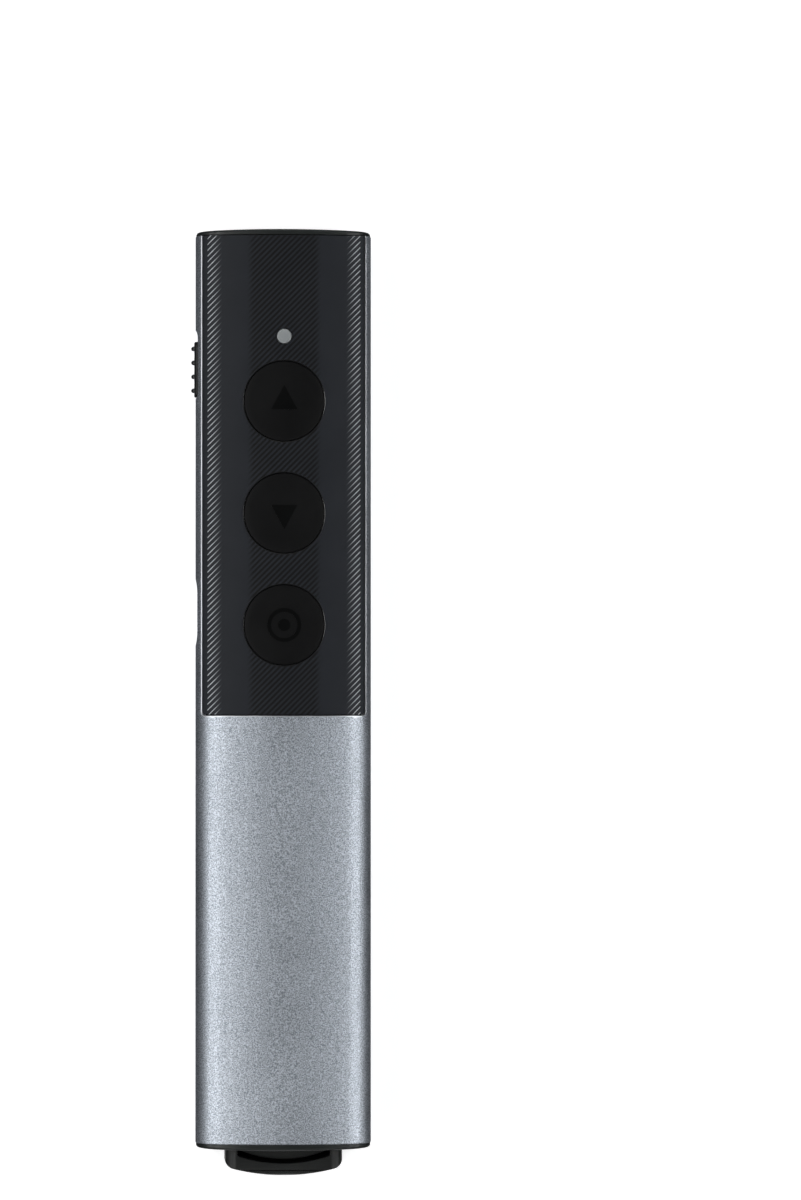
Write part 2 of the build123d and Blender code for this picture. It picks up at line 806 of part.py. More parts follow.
def screw_head_top():
    """Station of the outer face of an end screw's head."""
    half = half_width - cap_seat
    fall = cap_dome * (cap_screw_x / half) ** 2
    return bottom_cap_apex + fall + cap_screw_sink


def make_bottom_cap():
    """Receiver end cap: a domed plate on a deep plug, with the receiver's opening and two screws."""
    cap = domed_plate(bottom_cap_apex, sleeve_bottom)
    cap += along_y(body_outline(sleeve_wall + plug_gap), sleeve_bottom, bottom_plug_back)
    cap -= along_y(grip_profile(bay_gap), bottom_cap_apex - 1, bottom_plug_back)
    head_top = screw_head_top()
    shank = cap_screw_diameter / 2 + cap_screw_clearance
    hole = rod_y(shank, cap_screw_x, core_height, bottom_cap_apex - 1, bottom_plug_back)
    hole += rod_y(cap_recess_radius, cap_screw_x, core_height, bottom_cap_apex - 1, head_top + cap_screw_head)
    return cap - mirrored_pair(hole)


save(make_top_cap(), "top_cap")
save(make_bottom_cap(), "bottom_cap")


# ---------------------------------------------------------------- chassis
def receiver_bay():
    """Box on the tray that holds the receiver's plug, with the magnet's pocket in its end wall."""
    width = plug_width + 2 * (bay_gap + bay_wall)
    top = core_height + plug_height / 2 + bay_gap + bay_wall
    low = core_inset + chassis_wall / 2
    section = Pos(0, (top + low) / 2) * RectangleRounded(width, top - low, bay_corner)
    return along_y(section, chassis_low, bay_end)


def bay_cavity():
    """Space that the receiver's plug slides into, and the magnet's pocket behind it."""
    section = Rectangle(plug_width + 2 * bay_gap, plug_height + 2 * bay_gap)
    cavity = along_y(Pos(0, core_height) * section, chassis_low, bay_floor)
    return cavity + rod_y(magnet_diameter / 2, 0, core_height, bay_floor, bay_floor + magnet_thickness)


def board_bosses():
    """Screw bosses and plain posts that carry the board."""
    low = core_inset + chassis_wall / 2
    radius = board_screw_diameter / 2 + boss_wall
    bosses = [disc(radius, x, y, low, board_bottom) for x, y in board_screws_at]
    bosses += [disc(post_diameter / 2, 0, y, low, board_bottom) for y in key_stations.values()]
    return bosses


def cell_ribs():
    """Cross ribs that keep the cell in place lengthwise."""
    low = core_inset + chassis_wall / 2
    high = tray_inset + rib_height
    half = rib_width / 2
    near_face, far_face = cell_low - cell_end_gap, cell_high + cell_end_gap
    near = block(-half, half, near_face - rib_thickness, near_face, low, high)
    far = block(-half, half, far_face, far_face + rib_thickness, low, high)
    return [near, far]


def laser_cradles():
    """Two plates with a half-round seat under the laser barrel."""
    low = core_inset + chassis_wall / 2
    half = cradle_width / 2
    rear = laser_rear + cradle_setback
    plates = []
    for y_low in (rear, chassis_high - cradle_thickness):
        plate = block(-half, half, y_low, y_low + cradle_thickness, low, core_height)
        plates.append(plate - rod_y(laser_diameter / 2 + laser_fit, 0, core_height, laser_rear, laser_front))
    return plates


def flange_notch():
    """Room in the left wall for the slider's flange over its whole travel."""
    low = slider_rest - flange_half_length - slider_notch_gap
    high = slider_rest + flange_half_length + slider_travel + slider_notch_gap
    floor = core_height - flange_half_height - slider_notch_gap
    return block(-half_width, -board_half, low, high, floor, body_thickness)


def make_chassis():
    """Moulded tray that carries board, laser, cell and receiver."""
    section = (body_outline(core_inset) - body_outline(tray_inset)) & below(board_top + chassis_rim)
    tray = along_y(section, chassis_low, chassis_high)
    tray += receiver_bay()
    for piece in board_bosses() + cell_ribs() + laser_cradles():
        tray += piece
    boss = rod_y(cap_boss_diameter / 2, cap_screw_x, core_height, chassis_low, chassis_low + cap_boss_length)
    boss &= along_y(body_outline(core_inset), chassis_low, chassis_low + cap_boss_length)
    tray += mirrored_pair(boss)
    tray -= bay_cavity()
    pilot = rod_y(cap_screw_diameter / 2, cap_screw_x, core_height, chassis_low, chassis_low + cap_screw_bite)
    tray -= mirrored_pair(pilot)
    for x, y in board_screws_at:
        tray -= disc(board_screw_diameter / 2, x, y, board_bottom - board_screw_bite, board_bottom)
    tray -= flange_notch()
    tray -= along_x(port_shape(port_gap), -half_width, -half_width + tray_inset + sleeve_wall)
    over_port = port_width / 2 + port_gap
    tray -= block(-half_width, -board_half, port_y - over_port, port_y + over_port, core_height, body_thickness)
    return tray


save(make_chassis(), "chassis")
magnet = rod_y(magnet_diameter / 2, 0, core_height, bay_floor, bay_floor + magnet_thickness)
save(magnet, "bay_magnet")


# ---------------------------------------------------------------- screws
def make_screw(head_diameter, head_height, shank_diameter, shank_length):
    """Cross-recess screw with its head's seat at the origin and its head upwards."""
    head = extrude(Circle(head_diameter / 2), head_height)
    head = fillet(head.faces().sort_by(Axis.Z)[-1].edges(), head_height / 3)
    shank = extrude(Circle(shank_diameter / 2), -shank_length)
    shank = chamfer(shank.faces().sort_by(Axis.Z)[0].edges(), shank_diameter / 5)
    drive = Rectangle(drive_length, drive_width) + Rectangle(drive_width, drive_length)
    return head + shank - extrude(Pos(0, 0, head_height) * drive, -drive_depth)


board_screw = make_screw(
    board_screw_head_diameter,
    board_screw_head,
    board_screw_diameter,
    board_thickness + board_screw_bite,
)
save_group([Pos(x, y, board_top) * board_screw for x, y in board_screws_at], "board_screws")

cap_screw_seat = screw_head_top() + cap_screw_head
cap_screw = make_screw(
    cap_screw_head_diameter,
    cap_screw_head,
    cap_screw_diameter,
    chassis_low + cap_screw_bite - cap_screw_seat,
)
towards_receiver = Rot(90, 0, 0) * cap_screw
cap_screws = [Pos(side * cap_screw_x, cap_screw_seat, core_height) * towards_receiver for side in (-1, 1)]
save_group(cap_screws, "cap_screws")


# ---------------------------------------------------------------- battery
def make_cell():
    """Pouch cell with soft edges and a thinner folded end over its protection board."""
    body_high = cell_high - cell_terminal_length
    mid = cell_base + cell_thickness / 2
    section = Pos(0, mid) * RectangleRounded(cell_width, cell_thickness, cell_corner)
    cell = along_y(section, cell_low, body_high)
    thin = cell_thickness - 2 * cell_terminal_drop
    fold = Pos(0, mid) * RectangleRounded(cell_width - 2 * cell_terminal_drop, thin, cell_corner)
    return cell + along_y(fold, body_high, cell_high)


def make_tape():
    """Double-sided pad between the cell and the tray."""
    half = cell_width / 2 - tape_margin
    return block(-half, half, cell_low + tape_margin, cell_high - tape_margin, tray_inset, cell_base)


lead_height = board_bottom - connector_height / 2


def make_connector():
    """Wire-to-board socket hanging under the board's end."""
    half = connector_width / 2
    low = board_bottom - connector_height
    return block(-half, half, connector_face, connector_face + connector_length, low, board_bottom)


def make_lead(side):
    """One lead from the cell to the connector, bowed outwards a little."""
    x = side * lead_pitch / 2
    bowed = x + side * lead_bow
    start, end = cell_high, connector_face
    route = [
        (x, start, lead_height),
        (x, start + lead_straight, lead_height),
        (bowed, start + 2 * lead_straight, lead_height),
        (bowed, end - 2 * lead_straight, lead_height),
        (x, end - lead_straight, lead_height),
        (x, end, lead_height),
    ]
    path = FilletPolyline(route, radius=lead_straight)
    section = Plane(origin=route[0], z_dir=(0, 1, 0)) * Circle(lead_diameter / 2)
    return sweep(section, path=path)


save(make_cell(), "battery_cell")
save(make_tape(), "battery_tape")
save(make_connector(), "battery_connector")
save_group([make_lead(side) for side in (-1, 1)], "battery_leads")


# ---------------------------------------------------------------- receiver
def grip_plan():
    """Outline of the grip seen from the front: straight sides and an arched, rounded outer end."""
    half = grip_width / 2
    drop = loop_outer_radius - sqrt(loop_outer_radius**2 - half**2)
    outline = Line((-half, grip_inner), (half, grip_inner))
    outline += Line((half, grip_inner), (half, grip_outer + drop))
    outline += ThreePointArc((half, grip_outer + drop), (0, grip_outer), (-half, grip_outer + drop))
    outline += Line((-half, grip_outer + drop), (-half, grip_inner))
    face = make_face(outline)
    return fillet(face.vertices().group_by(Axis.Y)[0], loop_corner)


def grip_side():
    """Outline of the grip seen from the side, with its outer end rounded off, as (y, z)."""
    length = grip_inner - grip_outer
    side = Pos(grip_outer + length / 2, core_height) * Rectangle(length, grip_thickness)
    return fillet(side.vertices().group_by(Axis.X)[0], loop_edge_radius)


def loop_pocket():
    """Plan of the finger pocket between the cap and the arched bar."""
    half = grip_width / 2 - loop_side
    start = bottom_cap_apex + loop_pocket_start
    deepest = grip_outer + loop_bar
    drop = loop_inner_radius - sqrt(loop_inner_radius**2 - half**2)
    outline = Line((-half, start), (half, start))
    outline += Line((half, start), (half, deepest + drop))
    outline += ThreePointArc((half, deepest + drop), (0, deepest), (-half, deepest + drop))
    outline += Line((-half, deepest + drop), (-half, start))
    face = make_face(outline)
    return fillet(face.vertices().group_by(Axis.Y)[0], loop_pocket_corner)


def make_receiver_grip():
    """Moulded grip with a shallow pocket front and back and a crescent groove beside its bar."""
    bottom = core_height - grip_thickness / 2
    top = core_height + grip_thickness / 2
    grip = along_y(grip_profile(), grip_outer, grip_inner)
    grip &= along_z(grip_plan(), bottom, top)
    grip &= along_x(grip_side(), -grip_width / 2, grip_width / 2)
    tongue_centre = bottom_cap_apex - loop_tongue_reach + loop_tongue_radius
    crescent = loop_pocket() - Pos(0, tongue_centre) * Circle(loop_tongue_radius)
    for low, high in ((bottom, bottom + loop_pocket_depth), (top - loop_pocket_depth, top)):
        grip -= along_z(loop_pocket(), low, high)
    for low, high in ((bottom, core_height - loop_web / 2), (core_height + loop_web / 2, top)):
        grip -= along_z(crescent, low, high)
    shell_seat = Pos(0, core_height) * RectangleRounded(plug_width, plug_height, plug_corner)
    grip -= along_y(shell_seat, plug_root, grip_inner)
    return grip


def plug_section(grow=0.0):
    """Section of the USB-A shell, as (x, z)."""
    shape = RectangleRounded(plug_width + 2 * grow, plug_height + 2 * grow, plug_corner + grow)
    return Pos(0, core_height) * shape


def make_plug_shell():
    """Folded metal shell with two latch windows on each broad side."""
    shell = along_y(plug_section() - plug_section(-plug_wall), plug_root, plug_tip)
    for side in (-1, 1):
        x = side * plug_window_spacing / 2
        y = plug_tip - plug_window_from_tip
        half, reach = plug_window_width / 2, plug_window_length / 2
        shell -= block(x - half, x + half, y - reach, y + reach, 0, body_thickness)
    return shell


board_front = plug_root + receiver_board_length
tongue_low = core_height - plug_height / 2 + plug_wall
tongue_top = tongue_low + plug_tongue_thickness


def make_plug_tongue():
    """Moulded tongue on one side of the shell, from the receiver's board to the mouth."""
    half = plug_width / 2 - plug_wall - plug_tongue_gap
    return block(-half, half, board_front, plug_tip - plug_tongue_recess, tongue_low, tongue_top)


def make_contacts():
    """Flat contacts on the tongue."""
    strips = []
    front = plug_tip - contact_from_tip
    for index in range(contact_count):
        x = (index - (contact_count - 1) / 2) * contact_pitch
        half = contact_width / 2
        top = tongue_top + contact_thickness
        strips.append(block(x - half, x + half, front - contact_length, front, tongue_top, top))
    return strips


def make_receiver_board():
    """Small board inside the shell, butted against the tongue."""
    half = plug_width / 2 - plug_wall - receiver_board_gap
    return block(-half, half, plug_root, board_front, tongue_low, tongue_low + receiver_board_thickness)


save(make_receiver_grip(), "receiver_grip")
save(make_plug_shell(), "usb_plug_shell")
save(make_plug_tongue(), "usb_plug_tongue")
save_group(make_contacts(), "usb_plug_contacts")
save(make_receiver_board(), "receiver_board")
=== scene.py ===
# %% [markdown]
# # A presentation clicker, modelled and finished in Blender
#
# The object is a slim remote control for slides. A satin aluminium sleeve goes all the way round it, and a
# black panel with three round keys is let into the front of the sleeve. A USB receiver with a pull loop is
# docked in the lower end, and a power slider and a charging port sit in the left flank.
#
# The moving parts and every main size come from a CAD model, which is loaded first and never moved. This
# lesson models the surfaces that are seen again with Blender's own tools, and gives each part its finish.

# %% Load the frame
from math import asin, atan2, cos, hypot, pi, radians, sin, sqrt

import bmesh
import bpy
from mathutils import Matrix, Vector


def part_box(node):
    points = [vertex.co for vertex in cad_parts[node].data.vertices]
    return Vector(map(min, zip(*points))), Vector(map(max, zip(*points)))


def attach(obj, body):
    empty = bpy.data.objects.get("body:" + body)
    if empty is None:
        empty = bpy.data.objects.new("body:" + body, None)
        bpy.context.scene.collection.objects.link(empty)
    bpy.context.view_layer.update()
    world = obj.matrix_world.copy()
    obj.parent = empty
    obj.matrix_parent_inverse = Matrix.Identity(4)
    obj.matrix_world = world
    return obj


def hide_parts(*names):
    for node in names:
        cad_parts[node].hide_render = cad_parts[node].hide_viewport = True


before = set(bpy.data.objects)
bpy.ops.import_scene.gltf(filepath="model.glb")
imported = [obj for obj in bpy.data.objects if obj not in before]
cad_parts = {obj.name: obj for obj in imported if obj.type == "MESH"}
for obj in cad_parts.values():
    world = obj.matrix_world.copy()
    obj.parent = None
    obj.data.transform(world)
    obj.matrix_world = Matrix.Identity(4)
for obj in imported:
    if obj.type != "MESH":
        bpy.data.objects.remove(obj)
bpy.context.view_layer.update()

MM = 0.001

# %% [markdown]
# ## The camera
#
# The clicker lies on its flat back and is seen from straight above, so the front fills most of the picture's
# height. A long lens from a metre away keeps the sides nearly parallel. The camera hangs a little to the left
# of the clicker and looks to the right past it, which puts the clicker left of the middle.

# %% The camera above the clicker
picture_height = 1200                        # pixels, the long side of the 801 by 1200 picture
table_pixels_per_mm = 6.705                  # how large the table top is seen
camera_height = 1000                         # mm above the table
camera_over = (-26, 3)                       # mm along x and y
camera_aim = (17.67, 13.31)                  # the point of the table in the middle of the picture
sensor_size = 36                             # mm, on the picture's long side

camera_place = Vector((*camera_over, camera_height)) * MM
sight_line = Vector((*camera_aim, 0)) * MM - camera_place
tilt_up = asin(sight_line.y / sight_line.length)
tilt_right = atan2(sight_line.x, -sight_line.z)

bpy.ops.object.select_all(action="DESELECT")
bpy.ops.object.camera_add(location=camera_place)
camera = bpy.context.object
camera.name = "camera"
camera.rotation_euler = (tilt_up, -tilt_right, 0)
camera.data.sensor_fit = "VERTICAL"
camera.data.sensor_height = sensor_size
camera.data.lens = sensor_size * camera_height * table_pixels_per_mm / picture_height
bpy.context.scene.camera = camera
print(f"lens {camera.data.lens:.0f} mm, "
      f"tilted {tilt_up / pi * 180:.2f} and {tilt_right / pi * 180:.2f} degrees")

# %% [markdown]
# ## The studio
#
# Satin metal shows what stands round it, so the lamps shape the sleeve more than its colour does. Two long
# strips of light hang on each side, one high and one low. The blasted metal blurs them into one broad bright
# band along each rounded shoulder, and the panel's metallic lines light up there. The middle of the front
# looks straight up at the dim room and stays darker. A faint softbox beyond each end draws light lines on the
# edges of the caps, the keys and the pull loop. Beside the flanks lie two dark cards that only reflections
# see, as photographers lay them beside metal to give it firm edges.
#
# The table is white. Its own colour and the lamps nearly reach white, and Light Path lifts it the rest of the
# way for the camera and for what metal and glass show of it. Its shadows stay, because the lift is small.

# %% The table, the cards and the lamps
table_size = 3.0                             # m
table_gap = 0.05                             # mm below the clicker's back
table_colour = (0.8, 0.8, 0.8, 1)
table_lift = 0.6                             # light added for camera, reflections and glass
room_colour = (0.11, 0.112, 0.115, 1)        # dim above the table
floor_colour = (0.75, 0.75, 0.76, 1)         # light from below, for when the clicker is held up
floor_ends, room_starts = -0.25, 0.05        # how far a direction points up, from -1 to 1
card_width, card_length = 150, 420           # mm
card_lift = 0.3                              # mm above the table
card_start = 13.2                            # mm from the clicker's centreline
card_colour = (0.03, 0.03, 0.032, 1)


def stage_material(name, colour):
    """A plain matt material for something that isn't part of the clicker."""
    material = bpy.data.materials.new(name)
    material.use_nodes = True
    shader = material.node_tree.nodes["Principled BSDF"]
    shader.inputs["Base Color"].default_value = colour
    shader.inputs["Roughness"].default_value = 0.9
    shader.inputs["Specular IOR Level"].default_value = 0.1
    return material, shader


table_material, table_shader = stage_material("table_white", table_colour)
tree = table_material.node_tree
light_path = tree.nodes.new("ShaderNodeLightPath")
seen_or_mirrored = tree.nodes.new("ShaderNodeMath")
seen_or_mirrored.operation = "ADD"
tree.links.new(light_path.outputs["Is Camera Ray"], seen_or_mirrored.inputs[0])
tree.links.new(light_path.outputs["Is Glossy Ray"], seen_or_mirrored.inputs[1])
or_through_glass = tree.nodes.new("ShaderNodeMath")
or_through_glass.operation = "ADD"
tree.links.new(seen_or_mirrored.outputs[0], or_through_glass.inputs[0])
tree.links.new(light_path.outputs["Is Transmission Ray"], or_through_glass.inputs[1])
lift = tree.nodes.new("ShaderNodeMath")
lift.operation = "MULTIPLY"
lift.inputs[1].default_value = table_lift
tree.links.new(or_through_glass.outputs[0], lift.inputs[0])
tree.links.new(lift.outputs[0], table_shader.inputs["Emission Strength"])
table_shader.inputs["Emission Color"].default_value = (1, 1, 1, 1)

bpy.ops.object.select_all(action="DESELECT")
bpy.ops.mesh.primitive_plane_add(size=table_size, location=(0, 0, -table_gap * MM))
table = bpy.context.object
table.name = "table"
table.data.materials.append(table_material)

card_material, _ = stage_material("card_black", card_colour)
for side in (-1, 1):
    x = side * (card_start + card_width / 2) * MM
    bpy.ops.mesh.primitive_plane_add(size=1, location=(x, 0, card_lift * MM))
    card = bpy.context.object
    card.name = "card_left" if side < 0 else "card_right"
    card.scale = (card_width * MM, card_length * MM, 1)
    card.visible_camera = card.visible_diffuse = card.visible_shadow = card.visible_transmission = False
    card.data.materials.append(card_material)

world = bpy.data.worlds.new("room")
bpy.context.scene.world = world
world.use_nodes = True
room = world.node_tree
direction = room.nodes.new("ShaderNodeTexCoord")
upwards = room.nodes.new("ShaderNodeSeparateXYZ")
floor_to_ceiling = room.nodes.new("ShaderNodeMapRange")
floor_to_ceiling.inputs["From Min"].default_value = floor_ends
floor_to_ceiling.inputs["From Max"].default_value = room_starts
blend = room.nodes.new("ShaderNodeMix")
blend.data_type = "RGBA"
blend.inputs[6].default_value = floor_colour
blend.inputs[7].default_value = room_colour
room.links.new(direction.outputs["Generated"], upwards.inputs["Vector"])
room.links.new(upwards.outputs["Z"], floor_to_ceiling.inputs["Value"])
room.links.new(floor_to_ceiling.outputs["Result"], blend.inputs["Factor"])
room.links.new(blend.outputs[2], room.nodes["Background"].inputs["Color"])


def hang_lamp(name, direction, distance, length, width, brightness):
    """A rectangular lamp in a direction from the clicker, facing it. Its length lies square to the lean."""
    place = Vector(direction).normalized() * distance * MM
    bpy.ops.object.light_add(type="AREA", location=place)
    lamp = bpy.context.object
    lamp.name = name
    lamp.rotation_euler = (-place).to_track_quat("-Z", "Y").to_euler()
    lamp.data.shape = "RECTANGLE"
    lamp.data.size = length * MM
    lamp.data.size_y = width * MM
    lamp.data.energy = brightness * pi * lamp.data.size * lamp.data.size_y
    return lamp


def lean_right(angle):
    """The direction that leans from straight up by so many degrees to the right."""
    return sin(radians(angle)), 0, cos(radians(angle))


strip_distance, strip_length, strip_width = 560, 900, 59     # mm
fill_distance, fill_length, fill_width = 650, 500, 220       # mm
fill_rise, fill_brightness = 0.9, 0.7
strips = {                                   # lean in degrees, brightness
    "strip_left_high": (-32.7, 8.4), "strip_left_low": (-63.3, 7.1),
    "strip_right_high": (40.6, 6.4), "strip_right_low": (69.2, 6.5),
}
for name, (lean, brightness) in strips.items():
    hang_lamp(name, lean_right(lean), strip_distance, strip_length, strip_width, brightness)
for name, end in (("fill_top", 1), ("fill_bottom", -1)):
    hang_lamp(name, (0, end, fill_rise), fill_distance, fill_length, fill_width, fill_brightness)
bpy.context.scene.view_settings.view_transform = "Standard"

# %% [markdown]
# ## Finishes
#
# No real surface has one flat colour. Each finish here starts from the same three layers: a fine grain that
# tips the surface a little, a drift of colour over some millimetres, and a roughness that drifts with it. The
# grain reads Object coordinates, which are metres on the clicker itself, so its size is given in millimetres
# and it never slides. What sets one finish apart, such as tracks or creases, is added to these layers.

# %% Layers that every finish shares
def add_node(material, kind, **settings):
    """A new node in a material, with its settings."""
    node = material.node_tree.nodes.new(kind)
    for name, value in settings.items():
        setattr(node, name, value)
    return node


def join(material, start, end):
    """A wire between two sockets."""
    material.node_tree.links.new(start, end)


def noise(material, size, detail=2.0):
    """Noise whose spots are about so many millimetres wide."""
    place = add_node(material, "ShaderNodeTexCoord")
    texture = add_node(material, "ShaderNodeTexNoise")
    texture.inputs["Scale"].default_value = 1 / (size * MM)
    texture.inputs["Detail"].default_value = detail
    join(material, place.outputs["Object"], texture.inputs["Vector"])
    return texture.outputs["Fac"]


def blend_colours(material, factor, dark, light, low=0.35, high=0.65):
    """A colour that goes from dark to light as the factor goes from low to high."""
    ramp = add_node(material, "ShaderNodeValToRGB")
    ramp.color_ramp.elements[0].position = low
    ramp.color_ramp.elements[0].color = (*dark, 1)
    ramp.color_ramp.elements[1].position = high
    ramp.color_ramp.elements[1].color = (*light, 1)
    join(material, factor, ramp.inputs["Fac"])
    return ramp.outputs["Color"]


def remap(material, factor, low, high):
    """A number that goes from low to high as noise goes from its lower to its upper values."""
    node = add_node(material, "ShaderNodeMapRange")
    node.inputs["From Min"].default_value = 0.3
    node.inputs["From Max"].default_value = 0.7
    node.inputs["To Min"].default_value = low
    node.inputs["To Max"].default_value = high
    join(material, factor, node.inputs["Value"])
    return node.outputs["Result"]


def tip_surface(material, shader, height, depth):
    """Bump from a height between 0 and 1, so many millimetres deep."""
    bump = add_node(material, "ShaderNodeBump")
    bump.inputs["Strength"].default_value = 1.0
    bump.inputs["Distance"].default_value = depth * MM
    join(material, height, bump.inputs["Height"])
    join(material, bump.outputs["Normal"], shader.inputs["Normal"])
    return bump


def shade_of(colour, factor):
    """A colour made darker or lighter."""
    return tuple(min(1.0, channel * factor) for channel in colour)


def layered(name, colour, roughness, metal=0.0, gloss=0.5, grain=0.2, depth=0.002, drift=6.0, spread=0.12):
    """The material and shader of a finish with grain, a drift of colour and a drift of roughness."""
    material = bpy.data.materials.new(name)
    material.use_nodes = True
    shader = material.node_tree.nodes["Principled BSDF"]
    shader.inputs["Metallic"].default_value = metal
    shader.inputs["Specular IOR Level"].default_value = gloss
    slow = noise(material, drift)
    colours = blend_colours(material, slow, shade_of(colour, 1 - spread), shade_of(colour, 1 + spread))
    join(material, colours, shader.inputs["Base Color"])
    rough = remap(material, slow, roughness * (1 - spread), roughness * (1 + spread))
    join(material, rough, shader.inputs["Roughness"])
    tip_surface(material, shader, noise(material, grain), depth)
    return material, shader


print("finish layers ready")

# %% [markdown]
# ## Satin aluminium
#
# The sleeve is blasted with fine beads and then anodised in a blue grey. Blasting leaves tiny facets, so a
# close look shows lighter and darker specks about a sixth of a millimetre wide. The specks come from one
# noise that tips the surface and tints it. Only the roughness drifts slowly.

# %% Anodised aluminium
aluminium_light = (0.685, 0.73, 0.79)
aluminium_dark = (0.265, 0.295, 0.335)
speck_size = 0.17                            # mm
speck_depth = 0.008                          # mm
satin_drift = 9.0                            # mm
satin_roughness = (0.46, 0.52)


def anodised_aluminium():
    material = bpy.data.materials.new("anodised_aluminium")
    material.use_nodes = True
    shader = material.node_tree.nodes["Principled BSDF"]
    shader.inputs["Metallic"].default_value = 1.0
    specks = noise(material, speck_size, detail=1.0)
    tint = blend_colours(material, specks, aluminium_dark, aluminium_light)
    join(material, tint, shader.inputs["Base Color"])
    rough = remap(material, noise(material, satin_drift), *satin_roughness)
    join(material, rough, shader.inputs["Roughness"])
    tip_surface(material, shader, specks, speck_depth)
    return material


finishes = {"anodised_aluminium": anodised_aluminium()}
finishes["cut_aluminium"], _ = layered(
    "cut_aluminium", (0.72, 0.74, 0.77), 0.4, metal=1.0, grain=0.1, depth=0.004)
print("made", list(finishes))

# %% [markdown]
# ## Black plastics
#
# Several blacks meet on the front and the ends. The ridged panel is a little blue and mirrors faintly, the
# keys are a soft matt, the signs printed on them mirror less still, and the caps, slider and pull loop are
# moulded in a glossier black. The panel's outer lines are painted bright metal, a painted highlight where
# the shoulders catch the lamps, and the grooves in its middle are painted darker, as painted shade. The
# crescent groove of the pull loop has a near black floor, which is painted shade as well.

# %% Panel, keys, caps, slider and grip
def black(name, colour, roughness, gloss, grain=0.12, depth=0.001):
    """A moulded black plastic."""
    return layered(name, colour, roughness, gloss=gloss, grain=grain, depth=depth, spread=0.1)[0]


panel_colour = (0.0168, 0.0188, 0.023)
# Painted highlight: a bright metallic colour on the ribs beside the sleeve, where both shoulders catch the
# lamps.
rib_highlight_colour = (0.36, 0.378, 0.396)            # the bright lines beside the sleeve
# Painted shade: the grooves in the middle of the panel are coloured near black, as if shade lay in them.
groove_shade_colour = (0.0055, 0.0058, 0.0062)      # the dark lines in the middle


def panel_black(name, line=None, metal=0.0, start=0.0, end=1.0):
    """Satin black. A line colour takes over between two distances from the centreline: for the ribs it is a
    painted highlight, for the grooves painted shade.
    """
    material, shader = layered(name, panel_colour, 0.45, gloss=0.15, grain=0.12, depth=0.0005, spread=0.05)
    if line:
        place = add_node(material, "ShaderNodeTexCoord")
        axes = add_node(material, "ShaderNodeSeparateXYZ")
        join(material, place.outputs["Object"], axes.inputs["Vector"])
        aside = add_node(material, "ShaderNodeMath", operation="ABSOLUTE")
        join(material, axes.outputs["X"], aside.inputs[0])
        share = add_node(material, "ShaderNodeMapRange", interpolation_type="SMOOTHSTEP")
        share.inputs["From Min"].default_value = start * MM
        share.inputs["From Max"].default_value = end * MM
        join(material, aside.outputs["Value"], share.inputs["Value"])
        plain = shader.inputs["Base Color"].links[0].from_socket
        mix = add_node(material, "ShaderNodeMix", data_type="RGBA")
        mix.inputs[7].default_value = (*line, 1)
        join(material, share.outputs["Result"], mix.inputs["Factor"])
        join(material, plain, mix.inputs[6])
        join(material, mix.outputs[2], shader.inputs["Base Color"])
        if metal:
            join(material, share.outputs["Result"], shader.inputs["Metallic"])
    return material


finishes["panel_black"] = panel_black("panel_black")
# The ribs beside the sleeve get a painted highlight of bright metal.
finishes["panel_rib_highlight"] = panel_black("panel_rib_highlight", rib_highlight_colour, metal=1.0, start=9.1, end=10.8)
# Painted shade on the grooves in the middle of the panel.
finishes["panel_groove_shade"] = panel_black("panel_groove_shade", groove_shade_colour, start=5.6, end=4.4)
moulded = {                                  # colour, roughness, gloss
    "panel_edge": ((0.004, 0.0042, 0.0045), 0.16, 1.0),
    "key_black": ((0.0035, 0.0036, 0.0038), 0.5, 0.12),
    "sign_black": ((0.0034, 0.0036, 0.0036), 0.35, 0.05),
    "cap_black": ((0.008, 0.0105, 0.0098), 0.34, 0.5),
    "slider_black": ((0.008, 0.0085, 0.009), 0.38, 0.4),
    "grip_black": ((0.0118, 0.0129, 0.0123), 0.42, 0.3),
    # Painted shade: the floor of the grip's crescent groove is near black, standing in for the shadow of the
    # bar.
    "recess_shade_black": ((0.0012, 0.0012, 0.0012), 0.7, 0.05),
    "chassis_black": ((0.012, 0.012, 0.013), 0.5, 0.4),
    "switch_black": ((0.012, 0.012, 0.012), 0.4, 0.5),
    "chip_black": ((0.014, 0.014, 0.015), 0.45, 0.5),
}
for name, (colour, roughness, gloss) in moulded.items():
    finishes[name] = black(name, colour, roughness, gloss)
print("made", len(finishes), "finishes so far")

# %% [markdown]
# ## Metals, glass and the rest of the inside
#
# The inside is seen when the receiver is pulled out or through the port. Stamped steel is smooth with a fine
# grain, brass and gold are warmer, the cell's foil pouch is creased, and the circuit board shows its copper
# tracks as slightly lighter lines under the green lacquer.

# %% Inner finishes
def metal(name, colour, roughness, grain=0.4, depth=0.001):
    """A bare or plated metal."""
    return layered(name, colour, roughness, metal=1.0, grain=grain, depth=depth, spread=0.08)[0]


metals = {                                   # colour, roughness
    "tinned_steel": ((0.62, 0.62, 0.60), 0.28), "turned_brass": ((0.72, 0.52, 0.25), 0.25),
    "gold_contact": ((0.85, 0.62, 0.28), 0.18), "magnet_nickel": ((0.66, 0.64, 0.60), 0.2),
    "screw_steel": ((0.55, 0.55, 0.54), 0.3), "screw_black": ((0.05, 0.05, 0.052), 0.35),
}
for name, (colour, roughness) in metals.items():
    finishes[name] = metal(name, colour, roughness)
finishes["plunger_white"] = layered("plunger_white", (0.75, 0.74, 0.70), 0.4)[0]
finishes["foam_tape"] = layered("foam_tape", (0.10, 0.10, 0.11), 0.9, grain=0.3, depth=0.02)[0]
finishes["lead_red"] = layered("lead_red", (0.45, 0.02, 0.015), 0.4)[0]


def pouch_foil():
    """Laminated foil with soft creases."""
    material, shader = layered("pouch_foil", (0.60, 0.61, 0.62), 0.3, metal=1.0)
    tip_surface(material, shader, noise(material, 3.0, detail=4.0), 0.12)
    return material


